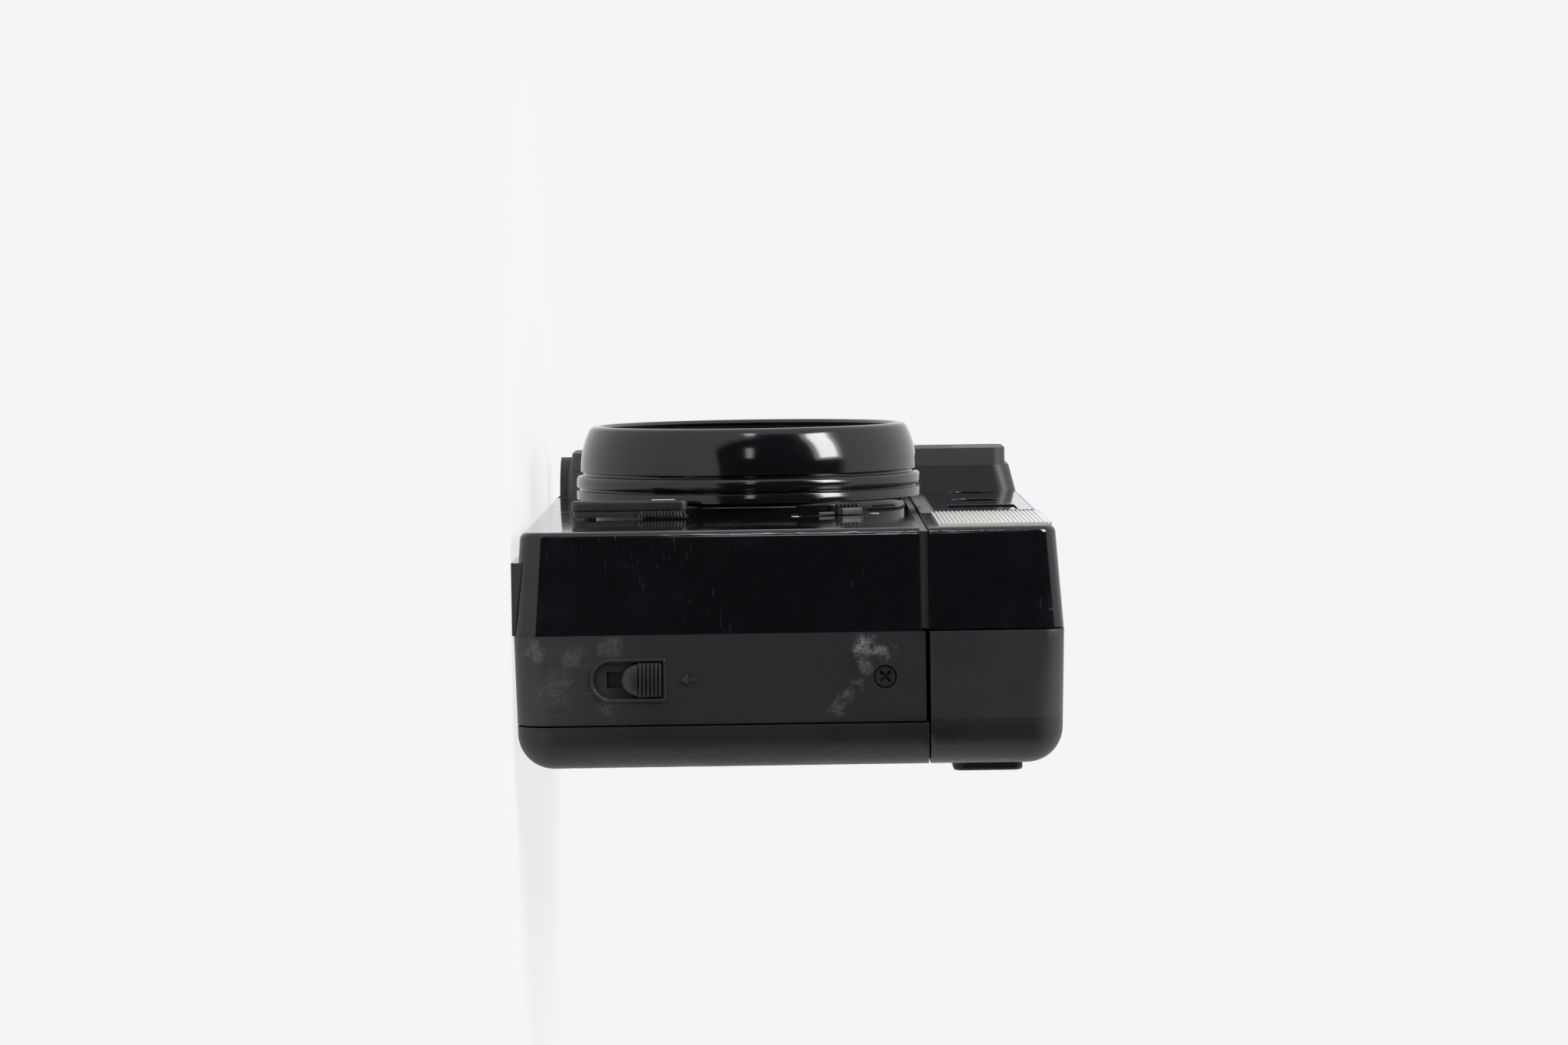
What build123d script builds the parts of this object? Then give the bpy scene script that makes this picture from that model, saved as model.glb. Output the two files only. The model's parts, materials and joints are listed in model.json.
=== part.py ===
"""Compact autofocus film camera, in millimetres.

X runs along the body, Y from the lens (negative) to the film door (positive), Z up.
The origin is the mouth of the tripod socket, in the plane that the camera stands on.
"""
import os
from math import atan2, cos, degrees, hypot, radians, sin

from build123d import *

# Case
length = 124.0
case_top = 73.3
case_bottom = 0.2
front_depth = 13.7
band_depth = 11.9
door_depth = 6.1
wall = 1.5
draft = 1.0
back_draft = 0.3
corner = 3.0
back_corner = 5.6
back_round = 4.8
front_round = 1.0
seam = 0.25
running_gap = 0.05

front_cover_top = 54.2
band_top = 54.8
door_top = 55.15
lid_bottom = 55.4

half = length / 2
parting_y = -band_depth / 2
door_y = band_depth / 2
front_y = parting_y - front_depth
back_y = door_y + door_depth

# Lens, ring and film gate
lens_z = 31.3
ring_height = 12.2
thread_radius = 21.1
thread_length = 3.0
thread_groove = 0.3
ring_rim = thread_radius + 1.7
ring_shoulder = ring_rim + 0.8
ring_waist = ring_shoulder + 0.6
ring_foot = ring_waist + 0.6
tube_radius = thread_radius - 0.8
plinth_length = 2 * (tube_radius + 3.2)
plinth_height = 2 * (tube_radius + 2.0)
plinth_corner = 16.0
plinth_depth = 1.75
plinth_reach = hypot(plinth_length / 2 - plinth_corner, plinth_height / 2 - plinth_corner) + plinth_corner
shutter_radius = tube_radius - 1.7
shutter_hole = 6.0
shutter_pin = 0.7
pin_offset = 12.0
meter_radius = 1.6
meter_offset = 15.0
barrel_radius = 10.2
barrel_wall = 2.6
sleeve_radius = barrel_radius + 2.0
barrel_rear_y = parting_y - 8.2
gate_width = 36.0
gate_height = 24.0
film_y = 8.65

# Film path
cartridge_x = 45.5
cartridge_y = -3.35
cartridge_bore = 13.0
chamber_wall = 0.8
spool_wall = 0.6
chamber_floor = 4.2
chamber_ceiling = 52.0
plate = 1.2
spool_x = -35.0
spool_y = -6.35
spool_hub = 4.8
spool_bore = 9.9
sprocket_x = -25.0
sprocket_y = 4.15
sprocket_root = 4.4
shaft = 1.5
fork_radius = 2.0

take_up_side = spool_x - spool_bore - spool_wall
gate_side = -gate_width / 2 - 1.2
cartridge_side = cartridge_x - cartridge_bore - chamber_wall

# Gears
gear_module = 0.5
spool_teeth = 36
sprocket_teeth = 22
pinion_teeth = 10
gear_bottom = 55.6
gear_width = 1.2
motor_radius = 6.0
motor_length = 9.4

# Battery and grip
grip_edge = -43.0
bulge_depth = 4.1
grip_depth = 2.6
grip_bottom = 3.5
grip_top = 70.3
cell_radius = 7.25
cell_cap = 2.7
cell_length = 50.5
cell_bottom = 5.2
cell_x = -52.7
cell_front_y = -17.7
cell_back_y = -2.7
cell_gap = 0.15
holder_wall = 0.4
cover_back = 3.2

# Flash head
flash_edge = 22.0
flash_travel = 12.0
leg_low = front_cover_top - flash_travel - 6.2
window_low = 56.7
window_high = 72.0
window_inner = 24.0
window_outer = 58.0

# Finder
finder_x = 12.4
finder_z = 64.5
finder_width = 14.0
finder_wall = 0.8
finder_height = 9.5
eyepiece_side = 12.0
eyepiece_end = 55.0
eyepiece_low = 58.5
eyepiece_high = 67.8
eyepiece_rim = 1.4
eyepiece_proud = 1.3
lamp_radius = 1.4
lamp_z = (eyepiece_low + eyepiece_high) / 2

# Controls
latch_low = 10.7
latch_high = 20.0
latch_width = 4.95
latch_travel = 3.4
latch_length = latch_high - latch_low - latch_travel - 0.1
latch_recess = 0.9
neck_low = latch_high - 3.9
neck_high = latch_high - 1.9
bar_gap = 0.35
bar_thick = 0.8
end_screw_z = 49.4
screw_head = 1.35
screw_bore = 1.535
screw_shank = 0.85
screw_depth = 0.9
button_x = -50.0
button_y = -12.0
button_radius = 5.6
button_travel = 1.4
counter_x = -32.0
counter_y = -1.5
counter_radius = 5.4
counter_window = 3.6
lever_width = 3.2
lever_x = plinth_length / 2 + 1.3 + lever_width / 2
lever_low = 6.8
lever_high = 22.9
lever_thick = 2.3
lever_gap = 0.3
lever_pivot = lever_low + 2.4
selector_radius = plinth_reach + 1.4
selector_angle = 30.5
selector_back = 14.0
selector_forward = 9.0
rewind_x = 27.0
rewind_travel = 1.2
rewind_radius = 1.95
hinge_x = -59.5
hinge_y = back_y - 2.5
pin_radius = 0.8
knuckle_radius = 1.9
hinge_nose = 2.35
socket_radius = 2.55
socket_depth = 4.8
socket_boss = 4.3
lug_z = 62.0


def block(x0, x1, y0, y1, z0, z1):
    """Box between two corners."""
    return Pos((x0 + x1) / 2, (y0 + y1) / 2, (z0 + z1) / 2) * Box(x1 - x0, y1 - y0, z1 - z0)


def rod_x(radius, y, z, x0, x1):
    return Pos((x0 + x1) / 2, y, z) * Rot(0, 90, 0) * Cylinder(radius, x1 - x0)


def rod_y(radius, x, z, y0, y1):
    return Pos(x, (y0 + y1) / 2, z) * Rot(90, 0, 0) * Cylinder(radius, y1 - y0)


def rod_z(radius, x, y, z0, z1):
    return Pos(x, y, (z0 + z1) / 2) * Cylinder(radius, z1 - z0)


def section(y, x0, x1, z0, z1, rounding):
    """Rounded rectangle across the camera at depth y."""
    outline = Pos((x0 + x1) / 2, (z0 + z1) / 2) * RectangleRounded(x1 - x0, z1 - z0, rounding)
    return Plane.XZ.offset(-y) * outline


def turned(points):
    """Body of revolution about the lens axis, from (radius, y) points."""
    return Pos(0, 0, lens_z) * revolve(Polygon(*points, align=None), Axis.Y)


def ring_y(outer, inner, x, z, y0, y1):
    return rod_y(outer, x, z, y0, y1) - rod_y(inner, x, z, y0, y1)


def ring_z(outer, inner, x, y, z0, z1):
    return rod_z(outer, x, y, z0, z1) - rod_z(inner, x, y, z0, z1)


def edges_at_y(solid, y):
    return solid.edges().filter_by_position(Axis.Y, y - 0.001, y + 0.001)


def edges_at_z(solid, z):
    return solid.edges().filter_by_position(Axis.Z, z - 0.001, z + 0.001)


def case_front(inset):
    """Front half of the case, drafted towards the lens, drawn in by inset."""
    y = front_y + inset
    shape = loft([
        section(parting_y, -half + inset, half - inset, case_bottom + inset, case_top - inset, corner),
        section(y, -half + draft + inset, half - draft - inset,
                case_bottom + draft + inset, case_top - draft - inset, corner),
    ], ruled=True)
    return fillet(edges_at_y(shape, y), front_round)


def case_rear(inset):
    """Rear half of the case, nearly square, with a well rounded back edge."""
    y = back_y - inset
    shape = loft([
        section(parting_y, -half + inset, half - inset, case_bottom + inset, case_top - inset, corner),
        section(y, -half + back_draft + inset, half - back_draft - inset,
                case_bottom + back_draft + inset, case_top - back_draft - inset, back_corner),
    ], ruled=True)
    return fillet(edges_at_y(shape, y), back_round - inset)


def bulge(inset):
    """Swelling at the grip end, in front of the case."""
    y = front_y - bulge_depth + inset
    return loft([
        section(front_y + wall + inset, -half + draft + inset, grip_edge - inset,
                case_bottom + draft + 1.4 + inset, case_top - draft - inset, corner),
        section(y, -half + draft + 0.6 + inset, grip_edge - 0.5 - inset,
                case_bottom + draft + 2.2 + inset, case_top - draft - 1.4 - inset, corner),
    ], ruled=True)


def slab(z0, z1, y0=-60.0, y1=60.0, x0=-90.0, x1=90.0):
    return block(x0, x1, y0, y1, z0, z1)


outer_front = case_front(0.0)
inner_front = case_front(wall)
outer_rear = case_rear(0.0)
inner_rear = case_rear(wall)
outer_bulge = bulge(0.0)
inner_bulge = bulge(wall)

clear_front = case_front(wall + seam)

holder_reach = cell_radius + cell_gap + holder_wall
holder = (cell_x - holder_reach, cell_x + holder_reach, cell_front_y - holder_reach, cell_back_y + holder_reach)
holder_top = cell_bottom + cell_length + 2.0


def battery_space(margin, z0, z1):
    """Room for the two upright cells in their tubes."""
    reach = holder_reach + margin
    space = rod_z(reach, cell_x, cell_front_y, z0, z1) + rod_z(reach, cell_x, cell_back_y, z0, z1)
    return space + block(cell_x - reach, cell_x + reach, cell_front_y, cell_back_y, z0, z1)


cover_top = case_bottom + wall
cover_edge = holder[1] + 0.2
cover_front = holder[2] - 0.2


def cover_space(margin):
    """Room for the battery cover, which slides out at the grip end."""
    return block(-half - 5, cover_edge + margin, cover_front - margin, cover_back + margin,
                 -1, cover_top + margin)


def front_cover():
    """Gloss shell around the lens, from the grip to the latch end."""
    shell = outer_front & slab(-5, front_cover_top, x0=grip_edge + seam)
    shell -= inner_front
    shell -= rod_y(tube_radius + seam, 0, lens_z, front_y - 1, front_y + 5)
    shell -= cover_space(seam)
    shell -= selector_slot()
    shell -= rod_y(1.0, lever_x, lever_pivot, front_y - 1, front_y + 5)
    shell -= socket_clearance()
    pad = block(half - 18, half - 2, front_y + 4.0, parting_y, 0, case_bottom + wall)
    return shell + (pad - inner_front)


def socket_clearance():
    """Hole for the tripod socket, through every floor above it."""
    return rod_z(socket_boss + seam, 0, 0, -1, cover_top + 5)


def selector_slot():
    """Arc slot about the lens that the mode selector's stem runs in."""
    low = selector_angle - selector_back
    high = selector_angle + selector_forward
    depth = (front_y - 1, front_y + 5)
    first, last = [rod_y(0.7, selector_radius * cos(radians(angle)),
                         lens_z + selector_radius * sin(radians(angle)), *depth) for angle in (low, high)]
    slot = first + last
    middle = radians((low + high) / 2)
    sweep_ring = ring_y(selector_radius + 0.7, selector_radius - 0.7, 0, lens_z, *depth)
    spread = (high - low) / 2
    wedge = Polygon((0, 0), (60 * cos(radians(-spread)), 60 * sin(radians(-spread))), (60, 0),
                    (60 * cos(radians(spread)), 60 * sin(radians(spread))), align=None)
    wedge = Pos(0, 0, lens_z) * Rot(0, -degrees(middle), 0) * extrude(Plane.XZ.offset(-front_y - 5) * wedge, 10)
    return slot + (sweep_ring & wedge)


def pocket(x, y, radius, open_y, z0, z1):
    """Round chamber with straight sides that run on to the film door."""
    return rod_z(radius, x, y, z0, z1) + block(x - radius, x + radius, y, open_y, z0, z1)


def whole_frame():
    """Matte band and film chambers in one, before they are cut into four pieces."""
    band = outer_rear & slab(-5, band_top, parting_y, door_y)
    band -= inner_rear
    low, high = chamber_floor - plate, chamber_ceiling + plate
    inside = block(holder[1], half - wall, cartridge_y - cartridge_bore, door_y - 2, low, chamber_floor)
    inside += block(holder[1], half - wall, cartridge_y - cartridge_bore, door_y - 0.6, chamber_ceiling, high)
    inside += pocket(cartridge_x, cartridge_y, cartridge_bore + chamber_wall, door_y, low, high)
    inside += pocket(spool_x, spool_y, spool_bore + spool_wall, door_y, low, high)
    inside += block(gate_side, -gate_side, parting_y - 4, film_y,
                    lens_z - gate_height / 2 - 1.4, lens_z + gate_height / 2 + 1.4)
    inside += block(spool_x, cartridge_x, door_y - 2, film_y, low, high)
    inside &= (clear_front + outer_rear) & slab(-5, case_top, y1=film_y)
    body = band + inside
    body += block(-half + 1, holder[1] + 1, holder[3] + seam, door_y, case_bottom + 0.4, band_top)
    body += hinge_block()
    body += motor_deck()
    body -= pocket(cartridge_x, cartridge_y, cartridge_bore, back_y, chamber_floor, chamber_ceiling)
    body -= pocket(spool_x, spool_y, spool_bore, back_y, chamber_floor, chamber_ceiling)
    body -= block(sprocket_x - 7.5, gate_side, sprocket_y - 6.5, back_y,
                  chamber_floor, chamber_ceiling)
    body -= loft([
        section(film_y + 1, -gate_width / 2, gate_width / 2,
                lens_z - gate_height / 2, lens_z + gate_height / 2, 0.5),
        section(parting_y - 5, -9, 9, lens_z - 8, lens_z + 8, 0.5),
    ], ruled=True)
    body = film_channel(body)
    body -= battery_space(seam, cover_top, case_top)
    body -= cover_space(seam)
    body -= flash_legs(seam, leg_low - 6, case_top)
    for x, y, radius in ((spool_x, spool_y, shaft), (sprocket_x, sprocket_y, shaft)):
        body -= rod_z(radius + running_gap, x, y, chamber_ceiling - 1, gear_bottom)
        body -= rod_z(radius + running_gap, x, y, chamber_floor - plate - 1, chamber_floor + 1)
    body -= rod_z(fork_radius + running_gap, cartridge_x, cartridge_y, chamber_ceiling - 1, case_top)
    body -= latch_space()
    body -= catch_block(seam)
    body -= rod_x(screw_bore, 0, end_screw_z, half - screw_depth, half + 1)
    body -= rod_x(screw_shank + seam / 4, 0, end_screw_z, half - 3, half + 1)
    body -= rod_z(rewind_radius + running_gap, rewind_x, 0, -1, cover_top + 1)
    body -= rod_z(rewind_radius + 1.2, rewind_x, 0, cover_top + 0.5, cover_top + 2.3 + rewind_travel)
    body -= socket_clearance()
    return body - rod_z(pin_radius + running_gap, hinge_x, hinge_y, 3, band_top - 2)


def frame_room(x0, x1):
    """Space inside the band that holds one of the film chambers' pieces."""
    return block(x0, x1, front_y, back_y, chamber_floor - plate, chamber_ceiling + plate)


def shelf_room():
    """Space over the film chambers' roof that holds the motor's shelf."""
    return block(motor_x - 7, motor_x + 9.5, front_y, back_y, chamber_ceiling + plate, case_top)


def main_body():
    """Matte band of the case with the hinge side."""
    return frame_mould - frame_room(take_up_side, half - wall) - shelf_room()


def take_up_housing():
    """Chamber of the take-up spool and the sprocket."""
    return frame_mould & frame_room(take_up_side, gate_side)


def gate_frame():
    """Light box with the film gate, the rails and the motor's shelf."""
    return frame_mould & (frame_room(gate_side, cartridge_side) + shelf_room())


def cartridge_housing():
    """Chamber of the film cartridge."""
    return frame_mould & frame_room(cartridge_side, half - wall)


def film_channel(body):
    """Sinks the film's channel and stands the two film rails in it."""
    channel = 35.1 / 2
    rail_side = gate_height / 2 + 0.6
    body -= block(spool_x, cartridge_x, film_y - 0.3, back_y, lens_z - channel, lens_z + channel)
    for low, high in ((-channel + 0.3, -rail_side), (rail_side, channel - 0.3)):
        body += block(gate_side, cartridge_side, film_y - 0.8, film_y, lens_z + low, lens_z + high)
    return body


def hinge_block():
    """Back corner of the grip end, between which the door's knuckles turn."""
    corner_block = outer_rear & slab(-5, band_top, door_y - wall, back_y + 1, -half - 1, hinge_x)
    corner_block += outer_rear & rod_z(hinge_nose, hinge_x, hinge_y, case_bottom, band_top)
    corner_block -= slab(-5, case_bottom + 4, door_y, back_y + 1)
    for low, high in door_knuckles():
        corner_block -= slab(low - seam, high + seam, door_y - 0.4, back_y + 1)
    return corner_block


def motor_deck():
    """Shelf that carries the winding motor over the film chamber's roof."""
    low = gear_bottom + gear_width + 0.3
    deck = block(motor_x - 6.5, motor_x + 9, motor_y - 6.5, motor_y + 5, low, low + 0.85)
    deck += block(motor_x + 7.5, motor_x + 9, motor_y - 6.5, motor_y + 5, chamber_ceiling, low)
    return deck - rod_z(1.2, motor_x, motor_y, low - 1, low + 2)


def door_knuckles():
    """Heights of the door's two hinge knuckles."""
    return ((9.0, 17.0), (39.0, 47.0))


def latch_space():
    """Recess for the latch slider, with a narrower slot through the wall."""
    width = latch_width / 2
    recess = block(half - latch_recess, half + 1, -width, width, latch_low + width, latch_high)
    recess += rod_x(width, 0, latch_low + width, half - latch_recess, half + 1)
    slot = block(half - wall - 0.5, half, -1.1, 1.1, neck_low - latch_travel - 0.2, neck_high + 0.3)
    return recess + slot


def back_door():
    """Matte film door with its knuckles, catch and spring bosses."""
    edge = hinge_x + hinge_nose + seam
    shell = outer_rear & slab(-5, door_top, door_y + seam, back_y + 1, edge, half + 1)
    shell -= inner_rear & slab(-5, door_top - wall)
    for low, high in door_knuckles():
        arm = block(hinge_x, edge + 1, hinge_y, back_y - 0.9, low, high)
        shell += arm + rod_z(knuckle_radius, hinge_x, hinge_y, low, high)
        shell -= rod_z(pin_radius + running_gap, hinge_x, hinge_y, low, high)
    shell += catch_block(0)
    for z in leaf_places:
        shell += rod_y(boss_radius, 0, z, door_inner - boss_height, door_inner)
    return shell


def catch_block(margin):
    """Tab on the door that the latch bar holds."""
    return block(57.2 - margin, 58.9 + margin, door_y - 2.4 - margin, back_y - wall,
                 22.5 - margin, 30.0 + margin)


def hinge_pin():
    return rod_z(pin_radius, hinge_x, hinge_y, 4.6, band_top - 2.2)


plate_front = film_y + 0.35
plate_back = plate_front + 0.8
door_inner = back_y - wall
leaf_places = (lens_z - 9, lens_z + 9)
boss_radius = 1.2
boss_height = 0.25


def pressure_plate():
    """Flat plate behind the film, a little larger than the film gate."""
    reach = gate_height / 2 + 4.5
    pad = block(-gate_width / 2 - 4, gate_width / 2 + 8, plate_front, plate_back,
                lens_z - reach, lens_z + reach)
    return fillet(pad.edges().filter_by(Axis.Y), 2.0)


def pressure_springs():
    """Two bowed leaf springs that hang on the door and press on the plate."""
    leaves = []
    rest = door_inner - 0.05
    for z in leaf_places:
        leaf = block(-14, 14, rest - 0.2, rest, z - 2.5, z + 2.5)
        leaves.append(leaf - rod_y(boss_radius + running_gap, 0, z, rest - 1, rest + 1))
    return leaves


def light_seals():
    """Foam strips between the film chamber and the door's edges."""
    strips = []
    for low, high in ((chamber_floor - plate - 0.5, chamber_floor - plate),
                      (chamber_ceiling + plate, chamber_ceiling + plate + 0.35)):
        strips.append(block(spool_x, cartridge_x, door_y + 0.4, door_y + 1.2, low, high))
    return strips


def door_latch():
    """Finger slider with a domed lower end and ribs across its upper end."""
    width = latch_width / 2 - 0.12
    low = latch_high - latch_length + width
    top = latch_high - 0.15
    base = block(half - latch_recess + 0.1, half + 0.25, -width, width, low, top)
    base += rod_x(width, 0, low, half - latch_recess + 0.1, half + 0.25)
    base = fillet(base.edges().filter_by_position(Axis.X, half + 0.249, half + 0.251), 0.35)
    pitch = 0.58
    for index in range(6):
        z = top - 0.35 - index * pitch
        base += block(half, half + 0.45, -width + 0.4, width - 0.4, z - 0.16, z + 0.16)
    neck = block(half - wall - bar_gap, half - latch_recess + 0.1, -0.9, 0.9, neck_low, neck_high)
    return base + neck


def latch_bar():
    """Flat bar behind the end wall that ends beside the door's catch."""
    outer = half - wall - bar_gap
    inner = outer - bar_thick
    bar = block(inner, outer, -1.6, 1.6, latch_high - 4.5, 28.0)
    bar += block(inner, outer, -1.6, door_y + 1.6, 25.0, 28.0)
    return bar + block(inner - 0.15, inner, door_y + 0.2, door_y + 1.6, 25.5, 27.5)


def top_cover():
    """Top of the case with the finder, counter and button openings."""
    shell = outer_front & slab(lid_bottom, 80, x1=flash_edge - seam)
    shell += outer_bulge & slab(lid_bottom, 80)
    shell += outer_rear & slab(door_top + seam, 80, parting_y)
    shell -= inner_front & slab(0, 80, x1=flash_edge - seam - wall)
    shell -= inner_rear & slab(0, 80, parting_y + wall)
    shell -= inner_rear & slab(0, 80, x1=flash_edge - seam - wall)
    shell -= inner_bulge
    shell -= battery_space(seam, 0, holder_top + seam)
    shell -= rod_z(button_radius + 0.1, button_x, button_y, 60, 80)
    shell += ring_z(button_radius + 1.1, button_radius + 0.1, button_x, button_y,
                    case_top - 4.0, case_top - 0.4)
    shell -= rod_z(counter_window, counter_x, counter_y, 60, 80)
    shell -= finder_window(0.0, -60, 0)
    shell -= eyepiece_opening(0.0)
    for x in af_places:
        shell -= rod_y(af_radius, x, finder_z, front_y - 1, front_y + 4)
    shell -= rod_y(lamp_radius + 0.1, lamp_x, lamp_z, back_y - 4, back_y + 1)
    return shell + counter_arm()


af_places = (-11.0, -35.0)
af_radius = 3.6
lamp_x = 28.0


def finder_window(margin, y0, y1):
    """Block of the finder's opening, drawn in by a margin."""
    w = finder_width / 2 - margin
    h = finder_height / 2 - margin
    return block(finder_x - w, finder_x + w, y0, y1, finder_z - h, finder_z + h)


def window_panel():
    """Gloss surround of the front windows, a thin plate on the top cover."""
    front = front_y - 0.25
    panel = section(front_y - 0.01, grip_edge + 2, flash_edge - 0.8, window_low + 0.7, window_high - 0.6, 1.5)
    panel = extrude(panel, front_y - front)
    panel -= finder_window(0.0, -60, 0)
    for x in af_places:
        panel -= rod_y(af_radius, x, finder_z, front_y - 1, front_y + 4)
    return panel


def finder_tunnel():
    """Square tube between the finder's window and its eyepiece."""
    tube = finder_window(-finder_wall, front_y + wall + 0.05, back_y - wall - 0.6)
    return tube - finder_window(0.1, -60, 60)


def finder_glass():
    """The finder's front window, its lens and its eyepiece."""
    window = finder_window(0.1, front_y - 0.05, front_y + 1.2)
    lens = finder_window(0.15, front_y + 4.0, front_y + 6.0)
    return [window, lens, eyepiece_opening(-0.15) & slab(0, 80, back_y - wall + 0.1, back_y - 0.3)]


def eyepiece_opening(margin):
    """Block of the eyepiece's opening in the back, drawn in by a margin."""
    side = finder_width / 2 + margin
    low, high = eyepiece_low + eyepiece_rim - margin, eyepiece_high - eyepiece_rim + margin
    return block(finder_x - side, finder_x + side, 0, 60, low, high)


def eyepiece_frame():
    """Long proud panel round the finder's eyepiece, with a hole for the lamp."""
    outline = section(back_y - 0.3, finder_x - eyepiece_side, eyepiece_end, eyepiece_low, eyepiece_high, 1.5)
    frame = extrude(outline, -eyepiece_proud - 0.3) - outer_rear
    frame = fillet(edges_at_y(frame, back_y + eyepiece_proud), 0.4)
    frame -= rod_y(lamp_radius + 0.1, lamp_x, lamp_z, back_y - 4, back_y + 9)
    return frame - eyepiece_opening(-0.6)


def af_windows():
    return [rod_y(af_radius - 0.1, x, finder_z, front_y - 0.05, front_y + 1.2) for x in af_places]


def af_module():
    """Base plate with a lens tube and a cell behind each autofocus window."""
    low, high = af_places[1] - 4.5, af_places[0] + 4.5
    base = block(low, high, front_y + 7.0, front_y + 8.4, finder_z - 5, finder_z + 4.5)
    for x in af_places:
        base += ring_y(4.2, 3.2, x, finder_z, front_y + 1.6, front_y + 7.0)
    return base


def ready_lamp():
    tip = back_y + eyepiece_proud + 0.25
    return fillet(edges_at_y(rod_y(lamp_radius, lamp_x, lamp_z, back_y - 2.5, tip), tip), 0.3)


def flash_lid():
    """Gloss case of the flash head, which rises on its two legs."""
    shell = outer_front & slab(lid_bottom, 80, x0=flash_edge, y1=parting_y - seam)
    shell -= inner_front & slab(0, 80, x0=flash_edge + wall, y1=parting_y - seam - 1.2)
    return shell - block(window_inner, window_outer, front_y - 1, front_y + 3, window_low, window_high)


def flash_window():
    """Clear ribbed window, a little proud of the flash head."""
    outline = section(front_y - 0.35, window_inner + 0.1, window_outer - 0.1,
                      window_low + 0.1, window_high - 0.1, 0.8)
    return extrude(outline, -2.4)


def flash_reflector():
    """Polished trough behind the window, closed at its ends."""
    y0 = front_y + 2.2
    trough = block(window_inner + 0.6, window_outer - 0.6, y0, y0 + 6.5, window_low + 1, window_high - 1.2)
    middle = (window_low + window_high) / 2
    hollow = Pos((window_inner + window_outer) / 2, y0, middle) * Rot(0, 90, 0)
    hollow = hollow * Cylinder(5.6, window_outer - window_inner - 3)
    return trough - (hollow & slab(0, 80, y0 - 1, y0 + 9))


def flash_tube():
    """Thin glass tube with a metal cap on each end."""
    middle = (window_low + window_high) / 2
    y = front_y + 5.2
    low, high = window_inner + 2.15, window_outer - 2.15
    return [rod_x(1.3, y, middle, low + 2.5, high - 2.5),
            rod_x(1.5, y, middle, low, low + 2.45),
            rod_x(1.5, y, middle, high - 2.45, high)]


def flash_legs(margin, z0, z1):
    """The flash head's two guide legs, or with a margin the holes for them."""
    inner = block(flash_edge + 2.5 - margin, flash_edge + 7 + margin,
                  front_y + 4 - margin, front_y + 8 + margin, z0, z1)
    outer = block(half - 5.5 - margin, half - 3 + margin, front_y + 2.2 - margin, front_y + 5 + margin, z0, z1)
    return inner + outer


def flash_carrier():
    """Floor of the flash head with the two legs that guide it."""
    floor = block(flash_edge + wall + 0.1, half - draft - wall - 0.4, front_y + wall + 0.7,
                  parting_y - seam - 1.4, lid_bottom + 0.1, lid_bottom + 1.0)
    return floor + flash_legs(0, leg_low, lid_bottom + 0.5)


def flash_base():
    """Matte frame in the groove under the flash head, with the guide holes."""
    z0, z1 = front_cover_top + 0.05, lid_bottom - 0.15
    bar = block(grip_edge + 1, half - draft - 0.8, front_y + 0.9, front_y + 3.2, z0, z1)
    bar += block(flash_edge - 3, half - draft - 0.8, front_y + 0.9, parting_y - 0.3, z0, z1)
    return bar - flash_legs(running_gap, 0, 80)


def flash_capacitor():
    """Flash capacitor behind the flash head, with its two leads."""
    y, z = parting_y + 8.2, finder_z - 0.3
    low, high = flash_edge + 4, half - 6
    leads = [rod_x(0.4, y + side, z, high, high + 3) for side in (-2, 2)]
    return [rod_x(6.3, y, z, low, high)] + leads


button_top = case_top + 0.6
button_cap = 2.8
button_stem = 2.7


def shutter_button():
    """Round release button with a short stem."""
    top = button_top
    cap = rod_z(button_radius, button_x, button_y, top - button_cap, top)
    cap = fillet(edges_at_z(cap, top), 0.8)
    return cap + rod_z(1.6, button_x, button_y, top - button_cap - button_stem, top - button_cap)


def shutter_switch():
    """Switch block that the release button's stem presses on."""
    top = button_top - button_cap - button_stem - button_travel - 0.15
    return block(button_x - 4, button_x + 4, button_y - 3, button_y + 3, holder_top + 0.4, top)


def counter_glass():
    """Round window over the frame counter."""
    z = case_top - wall
    lens = rod_z(counter_window - 0.1, counter_x, counter_y, z + 0.1, case_top + 0.15)
    return fillet(edges_at_z(lens, case_top + 0.15), 0.3)


def counter_dial():
    """Disc that carries the frame numbers, with its shaft."""
    z = case_top - wall - 1.6
    return rod_z(counter_radius, counter_x + 1.6, counter_y, z, z + 0.8) + rod_z(
        0.8, counter_x + 1.6, counter_y, z - 1.2, z)


def counter_arm():
    """Arm of the top cover that carries the counter's shaft."""
    z = case_top - wall - 2.6
    arm = block(counter_x, counter_x + 4, counter_y - 1.6, back_y - wall / 2, z - 0.4, z + 0.6)
    return arm - rod_z(0.85, counter_x + 1.6, counter_y, z - 3, z + 3)


plate_seat = front_y - ring_height + thread_length + 0.15


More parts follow.
